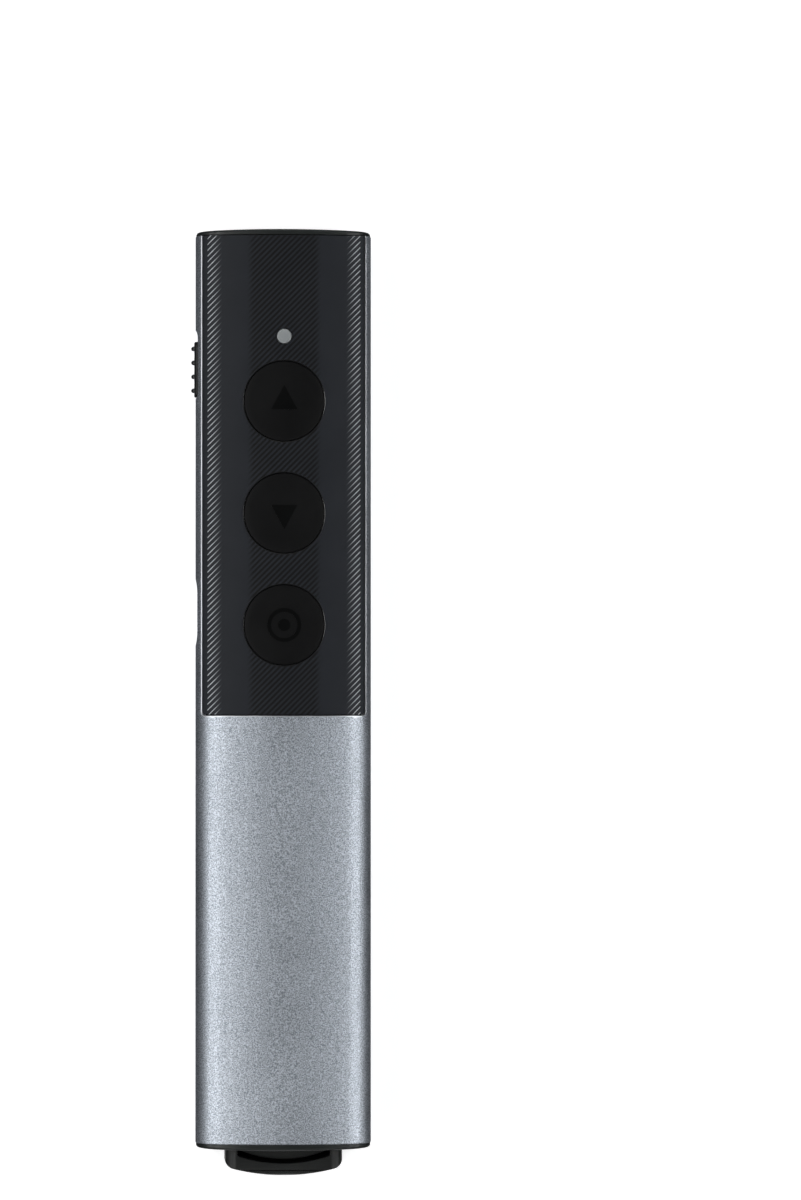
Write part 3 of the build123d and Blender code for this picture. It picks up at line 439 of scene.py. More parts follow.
def board_green():
    """Green lacquer over copper tracks that run along and across the board."""
    material, shader = layered("board_green", (0.012, 0.10, 0.035), 0.35)
    place = add_node(material, "ShaderNodeTexCoord")
    tracks = add_node(material, "ShaderNodeTexBrick", offset=0.37)
    tracks.inputs["Scale"].default_value = 1 / (1.6 * MM)
    tracks.inputs["Mortar Size"].default_value = 0.09
    tracks.inputs["Color1"].default_value = (0.010, 0.085, 0.030, 1)
    tracks.inputs["Color2"].default_value = (0.013, 0.095, 0.034, 1)
    tracks.inputs["Mortar"].default_value = (0.03, 0.19, 0.07, 1)
    join(material, place.outputs["Object"], tracks.inputs["Vector"])
    join(material, tracks.outputs["Color"], shader.inputs["Base Color"])
    return material


def clear_plastic(name, colour, roughness, clearness):
    """A clear or frosted plastic."""
    material, shader = layered(name, colour, roughness, grain=0.2, depth=0.0006)
    shader.inputs["Transmission Weight"].default_value = clearness
    shader.inputs["IOR"].default_value = 1.49
    return material


finishes["pouch_foil"] = pouch_foil()
finishes["board_green"] = board_green()
finishes["clear_window"] = clear_plastic("clear_window", (0.9, 0.9, 0.92), 0.05, 0.95)
finishes["indicator_lens"] = clear_plastic("indicator_lens", (0.305, 0.325, 0.33), 0.4, 0.1)
print("made", len(finishes), "finishes")

# %% Give the CAD nodes their finishes
for name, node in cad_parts.items():
    for material_slot in node.material_slots:
        material_slot.material = finishes[material_slot.material.name.split(".")[0]]
print("finished CAD nodes:", len(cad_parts))

# %% [markdown]
# ## Working by hand in code
#
# An operator acts on whatever is selected, just as when working by hand. These helpers deselect everything,
# open one piece for editing, and pick its vertices, edges or faces by their place in millimetres. Further
# helpers add a block or a rod at its size and place, and cut or join pieces with the Boolean modifier.

# %% Picking and cutting
def only(piece):
    """Leave edit mode and select this piece alone."""
    if bpy.context.mode != "OBJECT":
        bpy.ops.object.mode_set(mode="OBJECT")
    bpy.ops.object.select_all(action="DESELECT")
    piece.select_set(True)
    bpy.context.view_layer.objects.active = piece


def open_piece(piece):
    """Start editing this piece, with nothing of it selected."""
    only(piece)
    bpy.ops.object.mode_set(mode="EDIT")
    bpy.ops.mesh.select_mode(type="VERT")
    bpy.ops.mesh.select_all(action="DESELECT")


def open_whole(piece):
    """Start editing this piece, with all of it selected."""
    open_piece(piece)
    bpy.ops.mesh.select_all(action="SELECT")


def middle_of(part):
    """The middle of a vertex, edge or face, in millimetres."""
    corners = getattr(part, "verts", None) or [part]
    return sum((corner.co for corner in corners), Vector()) / len(corners) / MM


def pick(piece, kind, test):
    """Select the vertices, edges or faces of the open piece that pass a test of their middle."""
    bpy.ops.mesh.select_mode(type=kind)
    bpy.ops.mesh.select_all(action="DESELECT")
    mesh = bmesh.from_edit_mesh(piece.data)
    parts = {"VERT": mesh.verts, "EDGE": mesh.edges, "FACE": mesh.faces}[kind]
    picked = [part for part in parts if test(middle_of(part), part)]
    for part in picked:
        part.select_set(True)
    mesh.select_flush_mode()
    bmesh.update_edit_mesh(piece.data)
    return len(picked)


def close_piece(piece):
    """Merge doubles, turn all faces outwards and stop editing."""
    bpy.ops.mesh.select_mode(type="VERT")
    bpy.ops.mesh.select_all(action="SELECT")
    bpy.ops.mesh.remove_doubles(threshold=0.0005 * MM)
    bpy.ops.mesh.normals_make_consistent(inside=False)
    bpy.ops.object.mode_set(mode="OBJECT")
    return piece


def fill_slits(piece):
    """Fill the slits that a cut through fine lines can leave. On an open piece the next cut can go wrong."""
    open_whole(piece)
    bpy.ops.mesh.fill_holes(sides=6)
    close_piece(piece)


def slice_across(first, last):
    """Slice the open piece lengthwise at every whole millimetre of x between two places."""
    for x in range(first, last + 1):
        bpy.ops.mesh.select_all(action="SELECT")
        bpy.ops.mesh.bisect(plane_co=(x * MM, 0, 0), plane_no=(1, 0, 0))


def block(name, across, along, height):
    """A block between two places on each axis."""
    spans = (across, along, height)
    centre = [(low + high) / 2 * MM for low, high in spans]
    bpy.ops.mesh.primitive_cube_add(size=1, location=centre)
    piece = bpy.context.object
    piece.name = name
    piece.scale = [(high - low) * MM for low, high in spans]
    bpy.ops.object.transform_apply(location=True, rotation=True, scale=True)
    return piece


def rod(name, radius, place, low, high, axis="Z", steps=64):
    """A round bar along an axis. Place is where it stands on the other two axes."""
    rotation = {"X": (0, pi / 2, 0), "Y": (pi / 2, 0, 0), "Z": (0, 0, 0)}[axis]
    centre = list(place)
    centre.insert("XYZ".index(axis), (low + high) / 2)
    where = Vector(centre) * MM
    depth = (high - low) * MM
    bpy.ops.mesh.primitive_cylinder_add(
        vertices=steps, radius=radius * MM, depth=depth, location=where, rotation=rotation)
    piece = bpy.context.object
    piece.name = name
    bpy.ops.object.transform_apply(location=True, rotation=True, scale=True)
    return piece


def round_edges(piece, size, steps, test, finish=-1):
    """Bevel the edges that pass a test. One step makes a chamfer, which can have a finish of its own."""
    open_piece(piece)
    picked = pick(piece, "EDGE", test)
    bpy.ops.mesh.bevel(offset=size * MM, segments=steps, affect="EDGES", material=finish)
    close_piece(piece)
    return picked


def use_modifier(piece, kind, **settings):
    """Add a modifier to a piece and apply it at once."""
    only(piece)
    modifier = piece.modifiers.new(kind.title(), kind)
    for name, value in settings.items():
        setattr(modifier, name, value)
    bpy.ops.object.modifier_apply(modifier=modifier.name)


def boolean(piece, tool, way):
    """Cut, keep or weld with another piece, which is used up."""
    use_modifier(piece, "BOOLEAN", object=tool, operation=way, solver="EXACT")
    bpy.data.objects.remove(tool)
    return piece


def cut(piece, tool):
    return boolean(piece, tool, "DIFFERENCE")


def keep_inside(piece, tool):
    return boolean(piece, tool, "INTERSECT")


def weld(piece, tool):
    return boolean(piece, tool, "UNION")


def paint(piece, *names):
    """Give a piece its finishes, one material slot each."""
    piece.data.materials.clear()
    for name in names:
        piece.data.materials.append(finishes[name])


def fit_to_clicker(piece, finish, body, *nodes, slot=None, smooth=35):
    """Give a finished piece its material, smooth its round faces, and let it ride in place of CAD nodes."""
    only(piece)
    if not piece.data.materials:
        paint(piece, finish)
    bpy.ops.object.shade_smooth_by_angle(angle=radians(smooth))
    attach(piece, body)
    if nodes:
        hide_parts(*nodes)
    print(f"{piece.name}: {len(piece.data.polygons)} faces on {body}")
    return piece


# %% [markdown]
# ## The section of the body
#
# Sleeve, panel and caps share one cross-section: a flat back, two flanks that bulge, small fillets where the
# back turns into a flank, larger ones at the shoulders, and a very slightly crowned front. Every curve is an
# arc that meets its neighbours without a kink. Spin draws such arcs exactly: it sweeps a vertex about a
# centre by an angle. The centres follow from the radii by geometry, so a section a little inside or outside
# the first one is the same drawing with other radii.

# %% Centres and angles of the arcs
half_width, thickness, sleeve_end = 13.0, 12.0, 67.1
crown_radius = 45.0
flank_bulge = 3.6
shoulder_radius = 4.3
back_corner_radius = 4.0
core_height = thickness / 2

crown_centre = (0.0, thickness - crown_radius)
flank_radius = (core_height**2 + flank_bulge**2) / (2 * flank_bulge)
flank_centre = (half_width - flank_radius, core_height)


def where_circles_meet(first, first_radius, second, second_radius):
    """The right-hand meeting point of two circles in the (x, z) plane."""
    dx, dz = second[0] - first[0], second[1] - first[1]
    distance = hypot(dx, dz)
    along = (first_radius**2 - second_radius**2 + distance**2) / (2 * distance)
    aside = sqrt(first_radius**2 - along**2)
    return (
        first[0] + (along * dx + aside * dz) / distance,
        first[1] + (along * dz - aside * dx) / distance,
    )


def lean_of(start, end):
    """How far the line from one point to another leans to the right of straight up."""
    return atan2(end[0] - start[0], end[1] - start[1])


shoulder_centre = where_circles_meet(
    crown_centre, crown_radius - shoulder_radius, flank_centre, flank_radius - shoulder_radius)
corner_drop = core_height - back_corner_radius
corner_reach = sqrt((flank_radius - back_corner_radius) ** 2 - corner_drop**2)
corner_centre = (flank_centre[0] + corner_reach, back_corner_radius)
crown_lean = lean_of(crown_centre, shoulder_centre)
shoulder_lean = lean_of(flank_centre, shoulder_centre)
corner_lean = lean_of(flank_centre, corner_centre)
print(f"shoulder centre {shoulder_centre[0]:.3f}, {shoulder_centre[1]:.3f}; "
      f"corner centre {corner_centre[0]:.3f}")


# %% Draw the section
def start_drawing(name, x, y, z):
    """A piece that is one vertex, ready to be extruded and spun."""
    bpy.ops.mesh.primitive_plane_add(size=MM, location=Vector((x, y, z)) * MM)
    piece = bpy.context.object
    piece.name = name
    bpy.ops.object.transform_apply(location=True, rotation=True, scale=True)
    bpy.ops.object.mode_set(mode="EDIT")
    bpy.ops.mesh.select_mode(type="VERT")
    bpy.ops.mesh.select_all(action="SELECT")
    bpy.ops.mesh.merge(type="CENTER")
    return piece


def turn(centre, angle, steps, about="Y"):
    """Sweep the selected vertex about a centre on the other two axes, from +Z to +X or from -Y to +X."""
    place = Vector((centre[0], 0, centre[1]) if about == "Y" else (*centre, 0)) * MM
    axis = (0, 1, 0) if about == "Y" else (0, 0, 1)
    bpy.ops.mesh.spin(steps=steps, angle=-angle, center=place, axis=axis)


def pull(x=0.0, y=0.0, z=0.0):
    """Extrude what is selected."""
    bpy.ops.mesh.extrude_region_move(TRANSFORM_OT_translate={"value": Vector((x, y, z)) * MM})


def section(name, inset, y, fine=1):
    """The whole closed cross-section, moved in by an inset."""
    piece = start_drawing(name, 0, y, thickness - inset)
    turn(crown_centre, crown_lean, 20 * fine)
    turn(shoulder_centre, shoulder_lean - crown_lean, 14 * fine)
    turn(flank_centre, corner_lean - shoulder_lean, 14 * fine)
    turn(corner_centre, pi - corner_lean, 8 * fine)
    pull(x=-corner_centre[0])
    bpy.ops.object.mode_set(mode="OBJECT")
    use_modifier(piece, "MIRROR", use_clip=True, merge_threshold=0.001 * MM)
    return piece


def prism(name, inset, low, high, fine=1):
    """A solid bar with the body's cross-section between two stations."""
    piece = section(name, inset, low, fine)
    open_whole(piece)
    bpy.ops.mesh.edge_face_add()
    pull(y=high - low)
    return close_piece(piece)


def front_height(x, inset=0.0):
    """Height of the front over a distance x from the centreline."""
    x = abs(x)
    if x < crown_radius * sin(crown_lean):
        return crown_centre[1] + sqrt((crown_radius - inset) ** 2 - x**2)
    reach = min(x - shoulder_centre[0], shoulder_radius - inset)
    return shoulder_centre[1] + sqrt((shoulder_radius - inset) ** 2 - reach**2)


def front_lean(x):
    """How far the front leans outwards over a distance x from the centreline, as an angle."""
    x = abs(x)
    if x < crown_radius * sin(crown_lean):
        return asin(x / crown_radius)
    return asin(min(1.0, (x - shoulder_centre[0]) / shoulder_radius))


print("section helpers ready")

# %% [markdown]
# ## The sleeve
#
# The sleeve is one extruded tube, milled open at the front for the panel and at the left for the slider and
# the port. Two sections, one a wall's thickness inside the other, are bridged into a ring, and the ring is
# extruded to the full length. The cutters then do what the milling machine did. The mill leaves a bright
# narrow chamfer round the window and on both ends, which shows as a fine light line beside the panel.

# %% Sleeve and its openings
sleeve_wall = 1.0
seam_chamfer = 0.12
window_half, window_corner = 12.1, 0.5
window_chamfer, chamfer_slope = 0.12, 0.2    # mm wide, slope per mm outwards
window_bottom, window_sill = -3.9, 8.3
beyond = 3.0                                 # how far cutters stand clear of the body

sleeve = section("sleeve_satin", 0.0, -sleeve_end)
bore = section("bore", sleeve_wall, -sleeve_end)
only(sleeve)
bore.select_set(True)
bpy.ops.object.join()
open_whole(sleeve)
bpy.ops.mesh.bridge_edge_loops()
pull(y=2 * sleeve_end)
close_piece(sleeve)


def on_end_rim(middle, edge):
    """Rims of the tube's two ends, where an end face meets a wall at a right angle."""
    at_end = all(abs(abs(corner.co.y / MM) - sleeve_end) < 0.01 for corner in edge.verts)
    return at_end and edge.calc_face_angle() > 1


paint(sleeve, "anodised_aluminium", "cut_aluminium")
rims = round_edges(sleeve, seam_chamfer, 1, on_end_rim)


def flared_window():
    """A cutter for the window. Its rim widens, falling outwards at the sides and rising at the lower end."""
    tool = block("window", (-window_half, window_half), (window_bottom, sleeve_end + beyond),
                 (window_sill, thickness))
    upright = (window_sill + thickness) / 2
    round_edges(tool, window_corner, 5, lambda middle, edge: abs(middle.z - upright) < 0.1 and middle.y < 0)
    open_piece(tool)
    slice_across(-11, 11)
    pick(tool, "FACE", lambda middle, face: face.normal.z > 0.9)
    pull(z=1.0)
    close_piece(tool)
    for vertex in tool.data.vertices:
        x, y, z = vertex.co / MM
        if z < window_sill + 0.1:
            continue
        beside = max(0.0, abs(x) - window_half + window_corner)
        below = max(0.0, window_bottom + window_corner - y)
        reach = max(hypot(beside, below), 0.001)
        aside, down = beside / reach, below / reach
        slope = chamfer_slope * (1 - 2 * aside**2)
        rim = front_height(abs(x) + window_chamfer * aside) - window_chamfer * slope
        out = 1.0 if z > thickness + 0.5 else 0.0
        side = 1 if x > 0 else -1
        vertex.co = Vector((x + side * aside * out, y - down * out, rim + slope * out)) * MM
    paint(tool, "anodised_aluminium", "cut_aluminium")
    for face in tool.data.polygons:
        face.material_index = 1
    return tool


cut(sleeve, flared_window())
print("rims chamfered:", rims)

# %% Slot of the slider and opening of the port
slider_low, slider_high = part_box("power_slider")
slider_rest = (slider_low.y + slider_high.y) / 2 / MM
slider_travel, slider_gap = 1.5, 0.15
slider_length, slider_height = 8.2, 3.9
slider_corner = 1.0
slot_centre = slider_rest + slider_travel / 2
slot_half_length = (slider_length + slider_travel) / 2 + slider_gap
slot_half_height = slider_height / 2 + slider_gap

port_y = 11.4
port_half_width, port_half_height = 8.94 / 2 + 0.13, 3.26 / 2 + 0.13
port_countersink = 0.4
left_of_body = (-half_width - beyond, -half_width + 2.5)


def rounded_slot(name, across, y, half_length, half_height, corner):
    """A cutter through the left flank with rounded corners."""
    tool = block(name, across, (y - half_length, y + half_length),
                 (core_height - half_height, core_height + half_height))
    round_edges(tool, corner, 8, lambda middle, edge: abs(middle.y - y) > half_length - 0.01
                and abs(middle.z - core_height) > half_height - 0.01)
    return tool


cut(sleeve, rounded_slot("slot", left_of_body, slot_centre,
                         slot_half_length, slot_half_height, slider_corner))
round_end = port_half_height - 0.01
cut(sleeve, rounded_slot("port", left_of_body, port_y, port_half_width, port_half_height, round_end))

funnel = rounded_slot("funnel", (-half_width, -half_width + port_countersink), port_y,
                      port_half_width, port_half_height, round_end)
open_piece(funnel)
pick(funnel, "FACE", lambda middle, face: face.normal.x < -0.9)
port_middle = Vector((-half_width, port_y, core_height)) * MM
grow = 2 * port_countersink
wider = (1, 1 + grow / (2 * port_half_width), 1 + grow / (2 * port_half_height))
bpy.ops.transform.resize(value=wider, center_override=port_middle)
pull(x=-1)
close_piece(funnel)
cut(sleeve, funnel)
fit_to_clicker(sleeve, "anodised_aluminium", "root", "sleeve", smooth=16)

# %% [markdown]
# ## The ridged panel
#
# Fine lines run at 45 degrees across the black panel, 0.6 mm apart. Beside the sleeve they are raised ribs
# that catch the light along both shoulders, and their colour there is a painted highlight of bright metal. In
# the middle they are grooves painted near black, which is painted shade, and two plain bands lie between. A
# bump map would not throw a true highlight, so they are modelled: one band of the front, a single line long,
# is drawn by spin and extruded in rows. Some rows are lifted and get the painted highlight material, others
# are pressed in and get the painted shade material. The band is leaned by 45 degrees, and the Array modifier
# repeats it down the panel. A smooth border stays free beside the sleeve. The ends are trimmed by keeping
# what lies in a block.

# %% One band of the panel's front
line_pitch = 0.6                             # mm, square to the lines
rib_rise, groove_depth = 0.02, 0.014
row_shares = (0.25, 0.4, 0.5, 0.6, 0.75, 1)
panel_half, panel_bottom, panel_corner = 11.97, -3.7, 0.4
panel_gap = 0.1                              # mm to the top cap
panel_wall = 1.2
band_length = line_pitch * sqrt(2)
sheet_half = panel_half + 0.3
rib_field, groove_field = (8.6, 11.28), (0.0, 5.6)   # mm from the centreline
field_heights = [                            # distance from the centreline, how high or low the lines are
    (0, -groove_depth), (4.4, -groove_depth), (5.6, 0), (8.6, 0),
    (9.6, rib_rise), (11.1, rib_rise), (11.3, 0), (13, 0)]


def line_height(x):
    """How far a line stands out over a distance x from the centreline."""
    for (near, near_height), (far, far_height) in zip(field_heights, field_heights[1:]):
        if abs(x) <= far:
            way = (abs(x) - near) / (far - near)
            return near_height + (far_height - near_height) * way * way * (3 - 2 * way)
    return 0.0


def line_shape(share):
    """The round profile of a line, from a place's share of the way along the band."""
    return max(0.0, 1 - ((share - 0.5) / 0.25) ** 2)


band_start = panel_bottom - sheet_half - 2 * band_length
panel = start_drawing("panel_ridged", 0, band_start, thickness)
turn(crown_centre, crown_lean, 22)
turn(shoulder_centre, asin((sheet_half - shoulder_centre[0]) / shoulder_radius) - crown_lean, 14)
bpy.ops.object.mode_set(mode="OBJECT")
use_modifier(panel, "MIRROR", use_clip=True, merge_threshold=0.001 * MM)
open_whole(panel)
for start, end in zip((0, *row_shares), row_shares):
    pull(y=band_length * (end - start))
bpy.ops.object.mode_set(mode="OBJECT")
paint(panel, "panel_black", "panel_rib_highlight", "panel_groove_shade", "panel_edge")
for face in panel.data.polygons:
    aside, share = abs(face.center.x) / MM, (face.center.y / MM - band_start) / band_length
    # Rib faces take the painted highlight material.
    if rib_field[0] < aside < rib_field[1] and 0.4 < share < 0.6:
        face.material_index = 1
    # Groove faces take the painted shade material.
    if groove_field[0] <= aside < groove_field[1] and 0.25 < share < 0.75:
        face.material_index = 2
for vertex in panel.data.vertices:
    x, y, z = vertex.co / MM
    rise = line_height(x) * line_shape(round((y - band_start) / band_length, 2))
    lean = front_lean(x)
    aside = sin(lean) * (1 if x > 0 else -1)
    vertex.co = Vector((x + rise * aside, y + x, z + rise * cos(lean))) * MM
print("band:", len(panel.data.polygons), "faces,", round(band_length, 3), "mm long")

# %% Repeat the band, close it downwards and trim it
band_count = int((sleeve_end - band_start + sheet_half) / band_length) + 2
use_modifier(panel, "ARRAY", count=band_count, use_relative_offset=False, use_constant_offset=True,
             constant_offset_displace=(0, band_length * MM, 0), use_merge_vertices=True,
             merge_threshold=0.001 * MM)
open_whole(panel)
bpy.ops.mesh.normals_make_consistent(inside=False)
pull(z=-panel_wall)
close_piece(panel)
frame_block = block("panel_edges", (-panel_half, panel_half), (panel_bottom, sleeve_end - panel_gap),
                    (window_sill, thickness + beyond))
frame_middle = (window_sill + thickness + beyond) / 2
round_edges(frame_block, panel_corner, 4,
            lambda middle, edge: abs(middle.z - frame_middle) < 0.1 and middle.y < 0)
keep_inside(panel, frame_block)

key_names = ("up", "down", "laser")
key_radius, key_gap, key_recess = 5.9, 0.12, 0.05
stations = {}
for key_name in key_names:
    key_low, key_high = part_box("key_" + key_name)
    stations[key_name] = (key_low.y + key_high.y) / 2 / MM
pipe_low, pipe_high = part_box("light_pipe")
pipe_y = (pipe_low.y + pipe_high.y) / 2 / MM
pipe_radius = 1.08
hole_chamfer, hole_slope = 0.12, 0.36        # mm wide, rise per mm outwards


def chamfered_hole(radius, y, steps):
    """A cutter for a round hole, its upper edge chamfered all round, also where the front falls away."""
    tool = rod("hole", radius, (0, y), window_sill, thickness - hole_chamfer * hole_slope, steps=steps)
    open_piece(tool)
    pick(tool, "FACE", lambda middle, face: face.normal.z > 0.9)
    pull(z=hole_slope)
    centre = Vector((0, y, thickness)) * MM
    wider = (radius + 1.0) / radius
    bpy.ops.transform.resize(value=(wider, wider, 1), center_override=centre)
    close_piece(tool)
    paint(tool, "panel_black", "panel_rib_highlight", "panel_groove_shade", "panel_edge")
    for face in tool.data.polygons:
        face.material_index = 3
    for vertex in tool.data.vertices:
        if vertex.co.z / MM > window_sill + 0.1:
            x = min(abs(vertex.co.x / MM), radius)
            vertex.co.z -= (thickness - front_height(x)) * MM
    return tool


for y in stations.values():
    cut(panel, chamfered_hole(key_radius + key_gap, y, 128))
    fill_slits(panel)
cut(panel, rod("pipe_hole", pipe_radius + 0.1, (0, pipe_y), window_sill, thickness + beyond, steps=48))
fill_slits(panel)
fit_to_clicker(panel, "panel_black", "root", "control_panel", smooth=50)

# %% The hook under the lower end
hook_half, hook_inset, hook_thickness = 8.0, 1.2, 0.8
hook = prism("panel_hook", hook_inset, panel_bottom - 1.6, panel_bottom + 1.5)
cut(hook, prism("under", hook_inset + hook_thickness, panel_bottom - 3, panel_bottom + 3))
keep_inside(hook, block("middle", (-hook_half, hook_half), (panel_bottom - 2, panel_bottom + 2),
                        (core_height, thickness)))
fit_to_clicker(hook, "chassis_black", "root", smooth=40)

# %% [markdown]
# ## The keys and their signs
#
# Each key is a round disc whose face follows the crowned front, with a softly rounded rim. A cylinder gives
# the disc, a bevel its rim, and a stack of insets gives the face enough rings to follow the crown. Below the
# panel a wider flange with two tabs keeps the key in. The signs are prints in a black that mirrors less: two
# triangles and a target. Each is cut as a thin biscuit out of a curved sheet that lies on the key, so it
# follows the crown as well.

# %% Keys
key_edge_radius = 0.16
face_rings = 6
flange_low, flange_radius, flange_wall = 9.58, 6.7, 0.6
tab_reach, tab_half, stem_radius = 7.2, 0.8, 1.6


def follow_front(piece, inset, above):
    """Let down everything over a height by as much as the crowned front falls away to the sides."""
    for vertex in piece.data.vertices:
        x, y, z = vertex.co / MM
        if z > above:
            vertex.co.z -= (thickness - inset - front_height(x, inset)) * MM
    return piece


def make_key(name, y):
    top = thickness - key_recess
    node_low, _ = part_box("key_" + name)
    key = rod("key_cap_" + name, key_radius, (0, y), flange_low, top, steps=128)
    round_edges(key, key_edge_radius, 5, lambda middle, edge: middle.z > top - 0.01)
    open_piece(key)
    pick(key, "FACE", lambda middle, face: middle.z > top - 0.001 and len(face.verts) > 8)
    for ring in range(face_rings):
        bpy.ops.mesh.inset(thickness=(key_radius - key_edge_radius) / (face_rings + 1) * MM)
    close_piece(key)
    follow_front(key, key_recess, top - 0.5)
    flange = rod("flange", flange_radius, (0, y), flange_low, flange_low + flange_wall, steps=64)
    weld(flange, block("tabs", (-tab_reach, tab_reach), (y - tab_half, y + tab_half),
                       (flange_low, flange_low + flange_wall)))
    weld(flange, rod("stem", stem_radius, (0, y), node_low.z / MM, flange_low + 0.1, steps=32))
    weld(key, flange)
    return fit_to_clicker(key, "key_black", name + "_key", "key_" + name, smooth=40)


for name, y in stations.items():
    make_key(name, y)

# %% Signs printed on the keys
print_thickness = 0.02
triangle_base, triangle_tall, triangle_corner = 3.9, 3.6, 0.12
ring_outer, ring_inner, dot_radius = 2.5, 1.95, 0.9


def print_on_key(sign, key_name, finish="sign_black"):
    """Keep of an upright sign only the thin sheet that lies on the key's face."""
    y = stations[key_name]
    sheet = prism("sheet", key_recess - print_thickness, y - key_radius, y + key_radius, fine=2)
    cut(sheet, prism("under", key_recess - 0.002, y - key_radius - 1, y + key_radius + 1, fine=2))
    keep_inside(sign, sheet)
    return fit_to_clicker(sign, finish, key_name + "_key", slot="key_black")


def triangle(name, y, up):
    """An upright bar with three sides and softened corners."""
    sign = rod(name, 1.0, (0, y), thickness - 1, thickness + 1, steps=3)
    open_piece(sign)
    mesh = bmesh.from_edit_mesh(sign.data)
    for vertex in mesh.verts:
        at_tip = abs(vertex.co.x) < 0.01 * MM
        along = triangle_tall * (2 / 3 if at_tip else -1 / 3)
        side = 0 if at_tip else (1 if vertex.co.x > 0 else -1)
        vertex.co.x = side * triangle_base / 2 * MM
        vertex.co.y = (y + (along if up else -along)) * MM
    bmesh.update_edit_mesh(sign.data)
    close_piece(sign)
    round_edges(sign, triangle_corner, 3,
                lambda middle, edge: edge.calc_length() > 1.9 * MM and abs(middle.z - thickness) < 0.1)
    return sign


print_on_key(triangle("sign_up", stations["up"], True), "up")
print_on_key(triangle("sign_down", stations["down"], False), "down")
laser_y = stations["laser"]
ring = rod("sign_ring", ring_outer, (0, laser_y), thickness - 1, thickness + 1, steps=96)
cut(ring, rod("hollow", ring_inner, (0, laser_y), thickness - 2, thickness + 2, steps=96))
print_on_key(ring, "laser")
dot = rod("sign_dot", dot_radius, (0, laser_y), thickness - 1, thickness + 1, steps=64)
print_on_key(dot, "laser")

# %% [markdown]
# ## The indicator
#
# A milky light pipe ends flush with the front above the first key. It is a plain round rod, so its looks come
# from its frosted grey plastic and a small rounded rim that leaves a dark line against the panel.

# %% Light pipe
pipe_edge_radius = 0.1
pipe_flange_radius, pipe_flange_low, pipe_flange_high = 1.68, 10.2, 10.78
pipe = rod("indicator_pipe", pipe_radius, (0, pipe_y), pipe_low.z / MM, thickness - 0.01, steps=64)
round_edges(pipe, pipe_edge_radius, 3, lambda middle, edge: middle.z > thickness - 0.02)
weld(pipe, rod("pipe_flange", pipe_flange_radius, (0, pipe_y), pipe_flange_low, pipe_flange_high, steps=48))
fit_to_clicker(pipe, "indicator_lens", "root", "light_pipe")

# %% [markdown]
# ## The end caps
#
# Two black moulded plates close the ends. Their outline is the body's section a tenth of a millimetre inside
# the sleeve, their rims are rounded, and their outer faces bulge a little across the width. The plate is made
# flat first and its rim is bevelled. Then it is sliced from side to side into narrow strips, and the strips'
# corners are moved onto the bulge. Behind each plate a plug goes into the sleeve. The top cap's plug is
# hollow, with a boss in it that is bored for the laser and its window.

# %% Domed plates
cap_seat, cap_dome, cap_edge_radius, cap_seam_radius = 0.1, 0.3, 0.42, 0.1
top_low, top_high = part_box("top_cap")
bottom_low, bottom_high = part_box("bottom_cap")
top_apex, bottom_apex = top_high.y / MM, bottom_low.y / MM


def domed_plate(name, apex, seam):
    """An end plate with a bulging outer face and a rounded rim."""
    half = half_width - cap_seat
    dome_radius = (half**2 + cap_dome**2) / (2 * cap_dome)
    outwards = 1 if apex > seam else -1
    plate = prism(name, cap_seat, min(apex, seam), max(apex, seam))
    round_edges(plate, cap_edge_radius, 6, lambda middle, edge: edge.calc_face_angle() > 1
                and abs(middle.y - apex) < 0.01)
    round_edges(plate, cap_seam_radius, 2, lambda middle, edge: edge.calc_face_angle() > 1
                and abs(middle.y - seam) < 0.01)
    open_piece(plate)
    slice_across(-12, 12)
    bpy.ops.object.mode_set(mode="OBJECT")
    for vertex in plate.data.vertices:
        x, y = vertex.co.x / MM, vertex.co.y / MM
        if abs(y - seam) > 0.11:
            vertex.co.y -= outwards * (dome_radius - sqrt(dome_radius**2 - x**2)) * MM
    return plate


top_cap = domed_plate("top_cap_satin", top_apex, sleeve_end)
skim = 0.003                                 # mm, keeps two faces from lying in one plane
plug_inset, cap_wall, plug_back = 1.3, 1.2, top_low.y / MM
barrel_radius, barrel_seat_radius, barrel_seat_end = 3.0, 3.05, 65.1
aperture_radius, aperture_start, aperture_end = 1.6, 65.0, 67.1
window_seat_radius, window_seat_start = 2.23, 67.03
mouth_radius = 0.12                          # mm, round the window
plug = prism("plug", plug_inset, plug_back, sleeve_end + 0.15)
cut(plug, prism("plug_room", plug_inset + cap_wall, plug_back - 1, sleeve_end - 0.01))
weld(top_cap, plug)
rounds = {                                   # radius, where it starts and ends
    "boss": (barrel_radius + cap_wall, plug_back + skim, sleeve_end + 0.2),
    "window_seat": (window_seat_radius, window_seat_start, top_apex + 1),
    "barrel_seat": (barrel_seat_radius, plug_back - 1, barrel_seat_end),
    "aperture": (aperture_radius, aperture_start, aperture_end),
}
for name, (radius, low, high) in rounds.items():
    change = weld if name == "boss" else cut
    change(top_cap, rod(name, radius, (0, core_height), low, high, axis="Y"))
round_edges(top_cap, mouth_radius, 2, lambda middle, edge: edge.calc_face_angle() > 0.9
            and middle.y > top_apex - 0.1 and hypot(middle.x, middle.z - core_height) < 2.3)
fit_to_clicker(top_cap, "cap_black", "root", "top_cap")

# %% Bottom cap with its openings
grip_low, grip_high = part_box("receiver_grip")
grip_half = grip_high.x / MM
grip_bottom, grip_top = grip_low.z / MM, grip_high.z / MM
grip_outer, grip_inner = grip_low.y / MM, grip_high.y / MM
grip_corner, bay_gap, bay_edge_radius = 2.0, 0.15, 0.1
bottom_plug_inset, bottom_plug_end = 1.1, bottom_high.y / MM
screw_x, screw_hole_radius = 10.4, 0.9
screw_head_radius, screw_head_seat = 1.3, -66.735


def grip_block(name, grow, low, high):
    """A bar with the rounded section of the receiver's grip."""
    piece = block(name, (-grip_half - grow, grip_half + grow), (low, high),
                  (grip_bottom - grow, grip_top + grow))
    middle_y = (low + high) / 2
    round_edges(piece, grip_corner + grow, 8, lambda middle, edge: abs(middle.y - middle_y) < 0.01)
    return piece


